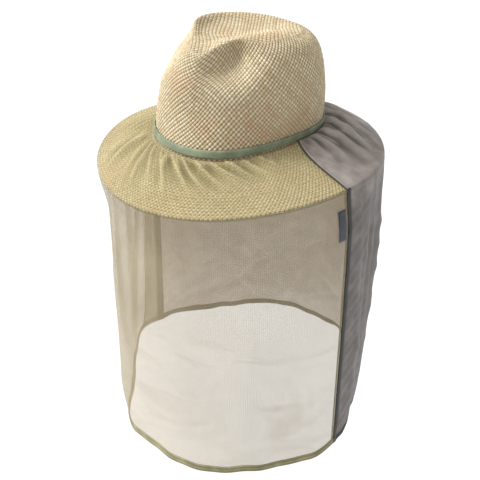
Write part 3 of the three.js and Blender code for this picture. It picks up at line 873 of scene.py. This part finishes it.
def brim_piece(material, tree):
    """The brim, woven in three rounds, each with more strands than the one inside it."""
    shell = Shell()
    mean = [(HALF_WIDTH + HALF_LENGTH) / 2, (2 * BRIM["width"] + BRIM["front"] + BRIM["back"]) / 4]
    radii = np.interp((np.arange(BRIM_ROUNDS) + 0.5) / BRIM_ROUNDS, [0, 1], mean)
    counts = np.round(2 * math.pi * radii / (BRIM_FINER * DIAMOND)).astype(int)[::-1]
    rows = BRIM_ROUNDS * ROUND_ROWS + 1
    columns = int(counts[0]) * PARTS // 2
    row, column = np.meshgrid(range(rows), range(columns), indexing="ij")
    step = 2 * column + row % 2
    top = brim_point(180 + step * 180 / columns, 1 - row / (rows - 1))
    tuck = np.random.default_rng(SEED).uniform(0, BRIM_TUCK, columns)
    top[0, :, :2] *= 1 - tuck[:, None] / np.linalg.norm(top[0, :, :2], axis=-1, keepdims=True)

    def place_of(rows_at, steps_at, lowest):
        """Places in the weave of the round that a row lies in, edge inwards."""
        which = np.clip(lowest // ROUND_ROWS, 0, BRIM_ROUNDS - 1)
        across = steps_at / (2 * columns) * counts[which] + which * ROUND_AWAY
        return np.stack([across + rows_at / PARTS, across - rows_at / PARTS], -1)

    into = np.minimum(row % ROUND_ROWS, ROUND_ROWS - row % ROUND_ROWS) / ROUND_FADE
    shell.add_points(top, place_of(row, step, row), np.minimum(1, into))
    faces, places = staggered(rows, columns)
    sizes = np.array([len(face) for face in faces])
    starts = np.concatenate([[0], np.cumsum(sizes)[:-1]])
    lowest = np.repeat(np.minimum.reduceat(places[:, 0], starts), sizes)
    shell.add_faces(faces, place_of(places[:, 0], places[:, 1], lowest))

    # The underside, coarser, and the two edges.
    coarse = columns // (PARTS // 2)
    shares = np.linspace(1, 0, UNDER_ROWS)
    under = brim_point(180 + np.arange(coarse)[None] * 360 / coarse, shares[:, None])
    under[0] = top[0, :: PARTS // 2]
    under[..., 2] -= STRAW_WALL
    turns = np.arange(coarse)[None] / coarse * counts[0]
    ups = (1 - shares[:, None]) * (rows - 1) / PARTS
    inner = shell.add_points(under, np.stack([turns + ups, turns - ups], -1), 0)
    shell.add_faces(ring_faces(inner, len(shares), coarse))
    shell.add_faces(fanned(np.arange(columns), inner + np.arange(coarse)))
    high = (rows - 1) * columns + np.arange(columns)
    last = inner + (len(shares) - 1) * coarse + np.arange(coarse)
    shell.add_faces([face[::-1] for face in fanned(high, last)])
    return shell.piece("brim_straw", material, tree)


# ---- the cloth
# Pleats that run out from the band: the angle at the band and at the far end, how much of the brim
# they cross (over 1 they run on down the hanging cloth), and their half width and height.
NET_PLEATS = np.array([
    (-14, 3, 0.6, 4, 4.2), (-6, 13, 0.55, 4, 3.8), (4, 24, 0.5, 4, 4.2), (13, 34, 0.6, 3, 5.6),
    (22, 44, 0.6, 3, 5.0), (31, 52, 0.5, 3, 4.4), (-34, -30, 0.8, 4, 3.8), (-56, -40, 0.8, 5, 4.0),
    (-66, -46, 0.7, 4, 3.4), (40, 54, 0.4, 4, 2.4), (-24, -14, 0.7, 4, 3.4), (-44, -36, 0.6, 4, 3.2),
    (58, 66, 0.35, 3, 1.6), (76, 80, 0.3, 3, 1.4), (-74, -56, 0.9, 4, 3.6), (-82, -66, 0.8, 4, 3.2),
    (-61, -52, 0.6, 3, 2.6), (-50, -34, 0.95, 4, 3.4), (-39, -26, 0.9, 4, 3.4), (-29, -18, 0.5, 3, 2.6),
    (-19, -4, 0.85, 4, 3.4), (-10, 6, 0.5, 3, 3.0), (0, 16, 0.8, 4, 3.4), (9, 28, 0.7, 3, 3.2),
    (40, 58, 0.5, 3, 4.2), (50, 64, 0.45, 3, 3.6), (60, 72, 0.4, 3, 3.2),
])
CAPE_PLEATS = np.array([
    (155, 134, 0.95, 8, 6.0), (136, 122, 0.85, 7, 6.5), (120, 114, 0.9, 6, 5.5), (109, 103, 0.8, 5, 4.5),
    (126, 118, 0.5, 4, 4.5), (146, 128, 0.5, 5, 4.5), (114, 112, 0.45, 4, 4.0), (105, 98, 0.5, 3, 3.5),
    (131, 124, 0.35, 3, 3.5), (141, 137, 0.4, 4, 3.5), (162, 150, 0.6, 5, 4.5),
    (172, 162, 0.8, 8, 5.0), (190, 196, 0.9, 8, 5.5), (208, 216, 0.8, 7, 5.0), (226, 232, 0.9, 7, 5.5),
    (244, 246, 0.8, 7, 4.5), (258, 258, 0.7, 5, 4.0),
])

# Folds that hang from the brim: the angle at the top and at the hem, where they start and end on the
# way down, and their half width and height.
NET_FALLS = np.array([
    (-86, -68, 0, 1, 7, 2.2), (-67, -72, 0, 0.8, 9, 1.8), (-52, -60, 0.1, 1, 8, 1.6),
    (-42, -46, 0, 0.6, 5, 1.2), (-26, -24, 0, 0.6, 6, 0.8), (-88, -86, 0, 1, 8, 2.4),
])
CAPE_FALLS = np.array([
    (96, 101, 0, 1, 5, 2.5), (104, 99, 0.1, 0.8, 5, 3.0), (110, 106, 0, 0.7, 6, 4.0),
    (122, 117, 0, 0.6, 7, 4.5), (106, 114, 0.35, 1, 6, 3.5), (119, 125, 0.5, 1, 5, 3.0),
    (134, 129, 0, 0.75, 7, 4.5), (150, 146, 0, 0.8, 8, 4), (166, 170, 0.1, 1, 8, 4),
    (182, 185, 0, 1, 8, 4), (200, 196, 0, 0.7, 8, 4), (218, 224, 0, 1, 8, 4), (236, 232, 0, 0.9, 8, 4),
    (252, 250, 0, 0.8, 7, 4), (263, 262, 0, 1, 5, 2.5),
])

# Least and most of each measure. Puckers stray and lean in degrees and reach over a share of the brim.
# A crease's length and rise are shares of the most.
PUCKER = {
    "stray": (-1.2, 1.2), "lean": (-3, 3), "reach": (0.12, 0.34), "width": (1.2, 2.2), "rise": (0.5, 1.4),
}
CREASE = {"length": (0.4, 1), "width": (4, 10), "rise": (0.4, 1), "most_lean": 80}
PLEAT_STARTS, PLEAT_FADES = 0.1, 0.7  # where pleats are in full, and how bluntly they run out
PLEAT_WIDTH = (0.6, 1.2)  # of its own, at the band and at the edge of the brim
FALL_WIDTH = (0.7, 1.7)  # of its own, at the top and at the end
FALL_SWELL = 0.6  # how soon a fall is in full: the lower, the sooner


def scattered_pleats(start, end, count, seed):
    """Small puckers that the gathering thread leaves all along the band."""
    draw = np.random.default_rng(seed)
    stray, lean, reach, width, rise = [draw.uniform(*least_most, count) for least_most in PUCKER.values()]
    at = np.linspace(start, end, count) + stray
    return np.stack([at, at + lean, reach, width, rise], 1)


def pleated(pleats, angles, out, radius):
    """Height of the pleats: out is 0 at the band and 1 at the edge of the brim."""
    height = np.zeros(np.shape(angles))
    for start, end, reach, width, rise in pleats:
        line = mix(start, end, out / reach)
        aside = (angles - line + 180) % 360 - 180
        away = np.radians(aside) * radius / (width * mix(*PLEAT_WIDTH, out))
        along = np.clip(out / PLEAT_STARTS, 0, 1) * np.clip(1 - out / reach, 0, 1) ** PLEAT_FADES
        height += rise * along * np.exp(-(away**2))
    return height


def crossing_waves(u, v, draw, count, shortest, longest, upright):
    """Soft random undulation, -1 to 1, from waves that cross each other. upright stretches them."""
    total = np.zeros(np.shape(u))
    for _ in range(count):
        length = math.exp(draw.uniform(math.log(shortest), math.log(longest)))
        heading = draw.uniform(-1, 1)
        turn = 2 * math.pi / length
        total += np.sin(turn * (u + heading / upright * v) + draw.uniform(0, 2 * math.pi)) * length
    return total / (count * longest) * 2


def creased(u, v, draw, count, low, high, reach, least_lean=0):
    """Soft straight creases across the hanging cloth: each is a narrow raised line with ends."""
    total = np.zeros(np.shape(u))
    for _ in range(count):
        at_u, at_v = draw.uniform(u.min(), u.max()), draw.uniform(low, high)
        lean = math.radians(draw.uniform(least_lean, CREASE["most_lean"]) * draw.choice([-1, 1]))
        half, width = reach * draw.uniform(*CREASE["length"]), draw.uniform(*CREASE["width"])
        along = (v - at_v) * math.cos(lean) + (u - at_u) * math.sin(lean)
        aside = (u - at_u) * math.cos(lean) - (v - at_v) * math.sin(lean)
        bend = aside + along**2 / (6 * half)
        total += draw.uniform(*CREASE["rise"]) * np.exp(-((bend / width) ** 2) - (along / half) ** 2)
    return total


def falling(folds, angles, hung, radius):
    """Height of the hanging folds, hung being 0 at the edge of the brim and 1 at the hem."""
    height = np.zeros(np.shape(angles))
    for top, low, start, end, width, rise in folds:
        aside = (angles - mix(top, low, hung) + 180) % 360 - 180
        share = np.clip((hung - start) / (end - start), 0, 1)
        away = np.radians(aside) * radius / (width * mix(*FALL_WIDTH, share))
        swell = np.sin(math.pi * np.clip(share, 0.02, 0.98)) ** FALL_SWELL
        height += rise * (hung > 0) * swell * np.exp(-(away**2))
    return height


NET_PUCKERS = scattered_pleats(SEAM_RIGHT, SEAM_LEFT, 78, SEED + 1)
CAPE_PUCKERS = scattered_pleats(SEAM_LEFT, SEAM_RIGHT + 360, 60, SEED + 2)

# What each cloth's surface is made of. The waves are their count, shortest and longest length and how
# upright they are, and the creases their count, lowest and highest place, reach and least lean. starts is
# how far down both are in full.
WRINKLES = {
    "net": {
        "pleats": np.vstack([NET_PLEATS, NET_PUCKERS]), "falls": NET_FALLS, "falls_share": 1.0,
        "seed": SEED + 3, "radius": 165.0, "waves": (12, 35, 150, 5.0), "waves_rise": 2.6, "waves_base": 0.6,
        "creases": (34, 20, NET_DROP, 60), "creases_rise": 1.1, "starts": 1.6,
    },
    "cape": {
        "pleats": np.vstack([CAPE_PLEATS, CAPE_PUCKERS]), "falls": CAPE_FALLS, "falls_share": 0.7,
        "seed": SEED + 4, "radius": 168.0, "waves": (12, 30, 130, 4.0), "waves_rise": 1.6, "waves_base": 0.4,
        "creases": (100, 10, NET_DROP, 45, 35), "creases_rise": 2.2, "starts": 4.0,
    },
}
BRIM_REACH = 80.0  # of the cape over the brim, for the creases that lie on it
LYING = {"creases": (40, 5, 75, 22), "rise": 1.3, "starts": 6.0}
# How high and how far apart the puckers beside a seam are, how much they slant, how near the seam they
# start and how far they reach, and how they sway on the way down.
SEAM_PUCKERS = {
    "rise": 2.0, "every": 17.0, "slant": 0.6, "clear": 7.0, "reach": 22.0, "sway": 6.0, "bends": 31.0,
}


def radius_at(angles, along):
    """How far the cover stands from the hat's axis."""
    point = cover_point("flat", angles, along)
    return np.hypot(point[..., 0], point[..., 1])


def seam_puckers(u, v, hung, radius):
    """Slanting puckers of the hanging cape beside its seams, where they are drawn together."""
    seams = [math.radians(seam) * radius for seam in (SEAM_LEFT, SEAM_RIGHT + 360)]
    beside = np.minimum(*[np.abs(u - seam) for seam in seams])
    along = v + SEAM_PUCKERS["slant"] * beside + SEAM_PUCKERS["sway"] * np.sin(v / SEAM_PUCKERS["bends"])
    wave = np.clip(np.sin(2 * math.pi * along / SEAM_PUCKERS["every"]), 0, 1)
    near = (1 - np.exp(-beside / SEAM_PUCKERS["clear"])) * np.exp(-beside / SEAM_PUCKERS["reach"])
    return SEAM_PUCKERS["rise"] * wave * near * (hung > 0)


def wrinkled(form, angles, along):
    """Height of all that folds a cloth: pleats and puckers over the brim, and below it long falls,
    waves and creases."""
    if form == "flat":
        return np.zeros(np.shape(angles))
    own = WRINKLES[form]
    radius = radius_at(angles, along)
    out = np.clip(3 - along, 0, 1)
    hung = np.clip(1 - along, 0, 1)
    draw = np.random.default_rng(own["seed"])
    u, v = np.radians(angles) * own["radius"], hung * NET_DROP
    waves = own["waves_rise"] * (crossing_waves(u, v, draw, *own["waves"]) + own["waves_base"])
    creases = own["creases_rise"] * creased(u, v, draw, *own["creases"])
    height = pleated(own["pleats"], angles, out, radius)
    height += own["falls_share"] * falling(own["falls"], angles, hung, radius)
    height += np.clip(hung * own["starts"], 0, 1) * (waves + creases)
    if form == "net":
        return free(angles) * height
    lying = creased(u, out * BRIM_REACH, draw, *LYING["creases"]) * (hung == 0)
    height += LYING["rise"] * lying * np.clip(out * LYING["starts"], 0, 1)
    return free(angles) * height + seam_puckers(u, v, hung, own["radius"])


NORMAL_STEPS = (0.3, 0.004)  # in degrees and up the cloth, that its slope is measured over


def lifted(form, angles, along, out):
    """The cover's surface with all its folds, a distance out from its inner face."""
    angles, along = np.broadcast_arrays(np.asarray(angles, float), np.asarray(along, float))
    base = partial(cover_point, form)
    rise = (wrinkled(form, angles, along) + out)[..., None]
    return base(angles, along) + rise * normal_of(base, angles, along, *NORMAL_STEPS)


# Rows of the cover, from the hem to the band.
HANG_ROWS = np.concatenate([np.linspace(0, 1, 96)[:-1], np.linspace(1, 2, 8)[:-1], np.linspace(2, 3, 36)])
LOW_ROWS = HANG_ROWS[HANG_ROWS <= 1.0]
COLUMNS = 250
MAP_RADIUS, MAP_REACH = 168.0, 40.0  # that the cloth's map is drawn on, round the hat and over the brim
# The right seam's first turn: where it starts up the cloth, how much it takes of it, and its share.
SEAM_EARLY = {"from": 0.5, "over": 0.6, "share": 0.55}


def seam_at(seam, along):
    """The angle of a seam at a place up the cloth: each turns to the back near the band, and the right
    one also at the brim's edge."""
    along = np.asarray(along, float)
    turned = np.clip(along - 2, 0, 1) ** 4
    if seam == SEAM_LEFT:
        return seam + SEAM_TURN * turned
    early = np.clip((along - SEAM_EARLY["from"]) / SEAM_EARLY["over"], 0, 1)
    return seam - SEAM_TURN_RIGHT * (SEAM_EARLY["share"] * early**2 * (3 - 2 * early) + turned)


def degrees_of(width, seam, along):
    """Degrees that a width in millimetres takes beside a seam, at places up the cloth."""
    return np.degrees(width / radius_at(seam_at(seam, along), along))


def between_seams(form, rows, columns=COLUMNS):
    """Angles of a stretch of net or cape between its two seams, for each row."""
    start, end = CUTS[form]
    share = np.linspace(0, 1, columns)[None]
    first = (seam_at(start, rows) + degrees_of(SEAM_WIDTH / 2 - 1, start, rows))[:, None]
    last = (seam_at(end, rows) - degrees_of(SEAM_WIDTH / 2 - 1, end, rows))[:, None]
    return mix(first, last, share)


def ripple(angles, waves):
    """The sum of waves round the hat, each with its height, count and start."""
    return sum(height * np.sin(count * np.radians(angles) + start) for height, count, start in waves)


def hem_wave(angles):
    """How the hem wanders up and down, as a share of the hanging length."""
    return HEM_WAVE * free(angles) * ripple(angles, ((1.0, 7, 1), (0.6, 17, 0), (0.5, 29, 2)))


def cloth_map(angles, along):
    """The cloth's own map, in millimetres across and up it."""
    up = np.where(along < 1, along * NET_DROP, NET_DROP + (along - 1) * MAP_REACH)
    return np.stack(np.broadcast_arrays(np.radians(angles) * MAP_RADIUS, up), -1)


FOLD_STEPS = (-7, -5, -3, 3, 5, 7)  # columns away that a fold is measured against
# The rise that marks a fold in full, over the brim and hanging.
FOLD_RISE = {"net": (2.0, 16.0), "cape": (1.6, 4.0), "flat": (1.0, 1.0)}
DOUBLED_RISE = 2.2  # of a hanging fold of the net that lies double


def fold_values(form, angles, along):
    """How far each point is a ridge or a hollow of the cloth, from 0 to 1."""
    height = wrinkled(form, angles, along)
    around_it = sum(np.roll(height, step, 1) for step in FOLD_STEPS) / len(FOLD_STEPS)
    rise = free(angles) * (height - around_it) / np.where(along > 1, *FOLD_RISE[form])
    ridge, hollow = np.clip(rise, 0, 1), np.clip(-rise, 0, 1)
    if form == "net":
        double = falling(NET_FALLS, angles, np.clip(1 - along, 0, 1), radius_at(angles, along))
        ridge = np.clip(ridge + double / DOUBLED_RISE, 0, 1)
    return {name: np.tile(value.ravel(), 2) for name, value in zip(FOLD_VALUES, (ridge, hollow))}


# Each layer's distance out from the cover's inner face, and its thickness.
LAYERS = {
    "net": (0, 0.4),
    "cape": (0, 0.8),
    "hem": (-0.5, 1.6),
    "binding": (0.1, 1.5),
    "facing": (-1.0, 0.4),
    "facing_edge": (-1.2, 0.8),
    "allowance": (-1.0, 0.6),
    "label": (1.4, 0.7),
}


def sheet_piece(name, form, layer, angles, along, materials, second=None):
    """A closed piece of the cover. second says which of its faces, of those that face in and those that
    face out, by row and column, take the second material."""
    low, thick = LAYERS[layer]
    inner, outer = lifted(form, angles, along, low), lifted(form, angles, along, low + thick)
    angles, along = np.broadcast_arrays(angles, along)
    points, faces, corners = walled(inner, outer, cloth_map(angles, along))
    kept = fold_values(form, angles, along)
    piece = mesh_from(name, points, faces, materials[0], uv=corners, extra=kept)
    if second:
        piece.data.materials.append(materials[1])
        rows, columns = inner.shape[0] - 1, inner.shape[1] - 1
        for side, first in (("out", 0), ("in", rows * columns)):
            for k in range(rows * columns):
                if second(side, along[k // columns, 0], k % columns):
                    piece.data.polygons[first + k].material_index = 1
    return piece


def band_piece(material):
    """Folded tape round the foot of the crown, pulled tight, with soft edges and a slight ripple."""
    columns, rows = 480, 9
    angles = np.arange(columns)[None] * 360 / columns
    share = np.linspace(0, 1, rows)[:, None]
    top_edge = ripple(angles, ((0.18, 31, 0), (0.12, 53, 1))) * (share == 1)
    level = BAND["foot"] + share * BAND["height"] + top_edge
    face = crown_point(angles + 0 * level, level / around(CROWN_ROUND, MID_UP, angles))
    soft = 1 - np.abs(2 * share - 1) ** 5
    thick = BAND["edge"] + (BAND["wall"] - BAND["edge"]) * soft + 0 * angles
    inner = pushed_out(face, GAP)
    outer = pushed_out(face, (GAP + thick)[..., None])
    place = np.stack(np.broadcast_arrays(np.radians(angles) * BAND["radius"], share * BAND["height"]), -1)
    points, faces, corners = walled(inner, outer, place, True)
    return mesh_from("band_tape", points, faces, material, uv=corners)


# Each kind of stitch: its distance out from the cover's inner face, its length, the space to the next
# and the thread's thickness.
STITCHES = {
    "seam": (1.75, 2.4, 1.3, 0.45),
    "hem_top": (1.15, 3.0, 0.5, 0.9),
    "hem_low": (1.15, 3.0, 0.5, 0.6),
    "allowance": (-1.25, 1.6, 1.8, 0.8),
}


def stitch_line(name, kind, form, angles, along, material, tree):
    """A row of stitches along a line on the cover, made by the stitching tree."""
    out, *sizes = STITCHES[kind]
    points = lifted(form, angles, along, out)
    mesh = bpy.data.meshes.new(name)
    mesh.from_pydata((points * MM).tolist(), [(k, k + 1) for k in range(len(points) - 1)], [])
    piece = bpy.data.objects.new(name, mesh)
    bpy.context.scene.collection.objects.link(piece)
    sizes = {key: size * MM for key, size in zip(("Stitch Length", "Space", "Thread"), sizes)}
    return run_nodes(piece, tree, Material=material, **sizes)


# ---- the hat
CUTS = {"net": (SEAM_RIGHT, SEAM_LEFT), "cape": (SEAM_LEFT, SEAM_RIGHT + 360)}
CLOTH_END = 0.7  # of the cloth inside its hem, as a share of the hem's height
HEM_STITCHES = (("hem_top", 0.86), ("hem_low", 0.2))  # and the share of the hem's height that each is at
HEM_POINTS = 400
BINDING_REACH = 1.15  # of the binding's edges from the seam's middle, as a share of the seam's half width
BINDING_TURNS = 1.7  # up the cloth, from where the binding is the cape's own cloth but for one column
SEAM_STITCH_AT = 0.5  # from the seam's middle, as a share of its half width
FACING = {"left": (4.0, 4.0), "right": (32.0, 13.0)}  # width of the net turned back, at hem and brim
ALLOWANCE = (-1.5, 0.3)  # from the seam, as shares of its width
ALLOWANCE_STITCHES = (-1.2, -0.75, -0.3)
LABEL_FORWARD = (5.5, 4.0)  # of the label's two edges, towards the front
pieces = {}


def keep(piece, slot, *nodes):
    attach(piece, "root")
    if nodes:
        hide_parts(*nodes)
    pieces[piece.name] = piece
    return piece


def make_covers(cloths, net):
    """The net, and the cape with its inner face painted paler, as painted light coming through the cloth."""
    cloth_rows = np.concatenate([[HEM_SHARE * CLOTH_END], HANG_ROWS[HANG_ROWS > HEM_SHARE]])
    for form, slot, node, materials, second in (
        ("net", "insect_net", "net_veil", [net], None),
        ("cape", "cape_cloth", "neck_cape", [cloths["grey_poplin"], cloths["grey_poplin_back_painted_light"]],
         lambda side, along, column: side == "in"),
    ):
        angles = between_seams(form, cloth_rows)
        piece = sheet_piece(f"{form}_cloth", form, form, angles, cloth_rows[:, None], materials, second)
        keep(piece, slot, node)


def make_hem(form, cloth, thread, slot, tree):
    """A turned hem with two rows of stitches."""
    rows = np.linspace(0, HEM_SHARE + 0.002, 6)
    angles = between_seams(form, rows)
    up = rows[:, None] + hem_wave(angles)
    made = [keep(sheet_piece(f"{form}_hem_fold", form, "hem", angles, up, [cloth]), slot, f"{form}_hem")]
    for number, (kind, level) in enumerate(HEM_STITCHES, 1):
        line_at = np.full(HEM_POINTS, HEM_SHARE * level)
        line = np.linspace(*between_seams(form, line_at[:1], 2)[0], HEM_POINTS)
        name = f"{form}_hem_stitches_{number}"
        line_up = line_at + hem_wave(line)
        made.append(keep(stitch_line(name, kind, form, line, line_up, thread, tree), slot))
    return made


def make_seam(side, seam, cloths, net, tree):
    """A bound seam with a row of stitches, and the net turned back beside it with its folded edge."""
    inwards, net_column = (-1, 0) if side == "left" else (1, 5)
    at = seam_at(seam, HANG_ROWS)[:, None]
    width = degrees_of(SEAM_WIDTH / 2, seam, HANG_ROWS)[:, None]
    keep(sheet_piece(
        f"seam_binding_{side}", "flat", "binding",
        at + np.linspace(-BINDING_REACH, BINDING_REACH, 7)[None] * width, HANG_ROWS[:, None],
        [cloths["dark_twill_binding"], cloths["grey_poplin"]],
        lambda _, along, column: along > BINDING_TURNS and column != net_column,
    ), "dark_binding", f"side_seam_{side}")
    rows = LOW_ROWS[:, None]
    low_at = seam_at(seam, rows)
    wide = np.interp(rows, [0, 1], FACING[side])
    reach = wide * degrees_of(1.0, seam, LOW_ROWS)[:, None]
    angles = low_at + inwards * reach * np.linspace(0, 1, 7)[None]
    facing = sheet_piece(f"net_facing_{side}", "flat", "facing", angles, rows, [net])
    angles = low_at + inwards * (reach + np.linspace(-0.5, 1, 3)[None] * reach / wide)
    olive = [cloths["olive_hem_net"]]
    edge = sheet_piece(f"net_facing_edge_{side}", "flat", "facing_edge", angles, rows, olive)
    beside_net = [keep(facing, "insect_net"), keep(edge, "net_hem_cloth")]
    line = at[:, 0] - inwards * width[:, 0] * SEAM_STITCH_AT
    thread = cloths["sewing_thread"]
    stitches = stitch_line(f"seam_stitches_{side}", "seam", "flat", line, HANG_ROWS, thread, tree)
    return beside_net, [keep(stitches, "dark_binding")]


def make_allowance(cloths, tree):
    """The right seam's allowance, that shows through the net, with its rows of stitches."""
    at = seam_at(SEAM_RIGHT, LOW_ROWS)[:, None]
    wide = degrees_of(SEAM_WIDTH, SEAM_RIGHT, LOW_ROWS)[:, None]
    angles = at + np.linspace(*ALLOWANCE, 5)[None] * wide
    dark = [cloths["dark_twill_binding"]]
    strip = sheet_piece("seam_allowance_right", "flat", "allowance", angles, LOW_ROWS[:, None], dark)
    made = [keep(strip, "dark_binding")]
    for number, share in enumerate(ALLOWANCE_STITCHES, 1):
        line = (at + share * wide)[:, 0]
        name = f"seam_allowance_stitches_{number}"
        thread = cloths["sewing_thread"]
        stitches = stitch_line(name, "allowance", "flat", line, LOW_ROWS, thread, tree)
        made.append(keep(stitches, "dark_binding"))
    return made


def make_label(cloth):
    """A blank woven label, sewn in beside the left seam."""
    top = 1 - LABEL["below"] / NET_DROP
    rows = np.linspace(top - LABEL["height"] / NET_DROP, top, 16)
    back = -SEAM_WIDTH / 2 - GAP
    across = np.linspace(back - LABEL["width"] - LABEL_FORWARD[0], back - LABEL_FORWARD[1], 9)[None]
    angles = SEAM_LEFT + across * degrees_of(1.0, SEAM_LEFT, rows)[:, None]
    label = sheet_piece("label_tab", "flat", "label", angles, rows[:, None], [cloth])
    return keep(label, "label_cloth", "seam_label")


def build_hat():
    straw, net = palm_straw(), insect_net()
    cloths = {name: woven_cloth(name, *finish) for name, finish in CLOTHS.items()}
    relief, stitches = woven_relief(), stitching()
    keep(crown_piece(straw, relief), "straw", "crown")
    keep(brim_piece(straw, relief), "straw", "brim")
    keep(band_piece(cloths["sage_cotton_tape"]), "band_cotton", "hat_band")
    make_covers(cloths, net)
    thread = cloths["olive_sewing_thread"]
    net_sewn = make_hem("net", cloths["olive_hem_net"], thread, "net_hem_cloth", stitches)
    cape_sewn = make_hem("cape", cloths["dark_twill_binding"], thread, "dark_binding", stitches)
    for side, seam in (("left", SEAM_LEFT), ("right", SEAM_RIGHT)):
        on_net, on_cape = make_seam(side, seam, cloths, net, stitches)
        net_sewn += on_net
        cape_sewn += on_cape
    cape_sewn += make_allowance(cloths, stitches)
    net_sewn.append(make_label(cloths["navy_satin_label"]))
    cape_sewn += [pieces["seam_binding_left"], pieces["seam_binding_right"]]


place_camera()
light_studio()
build_hat()
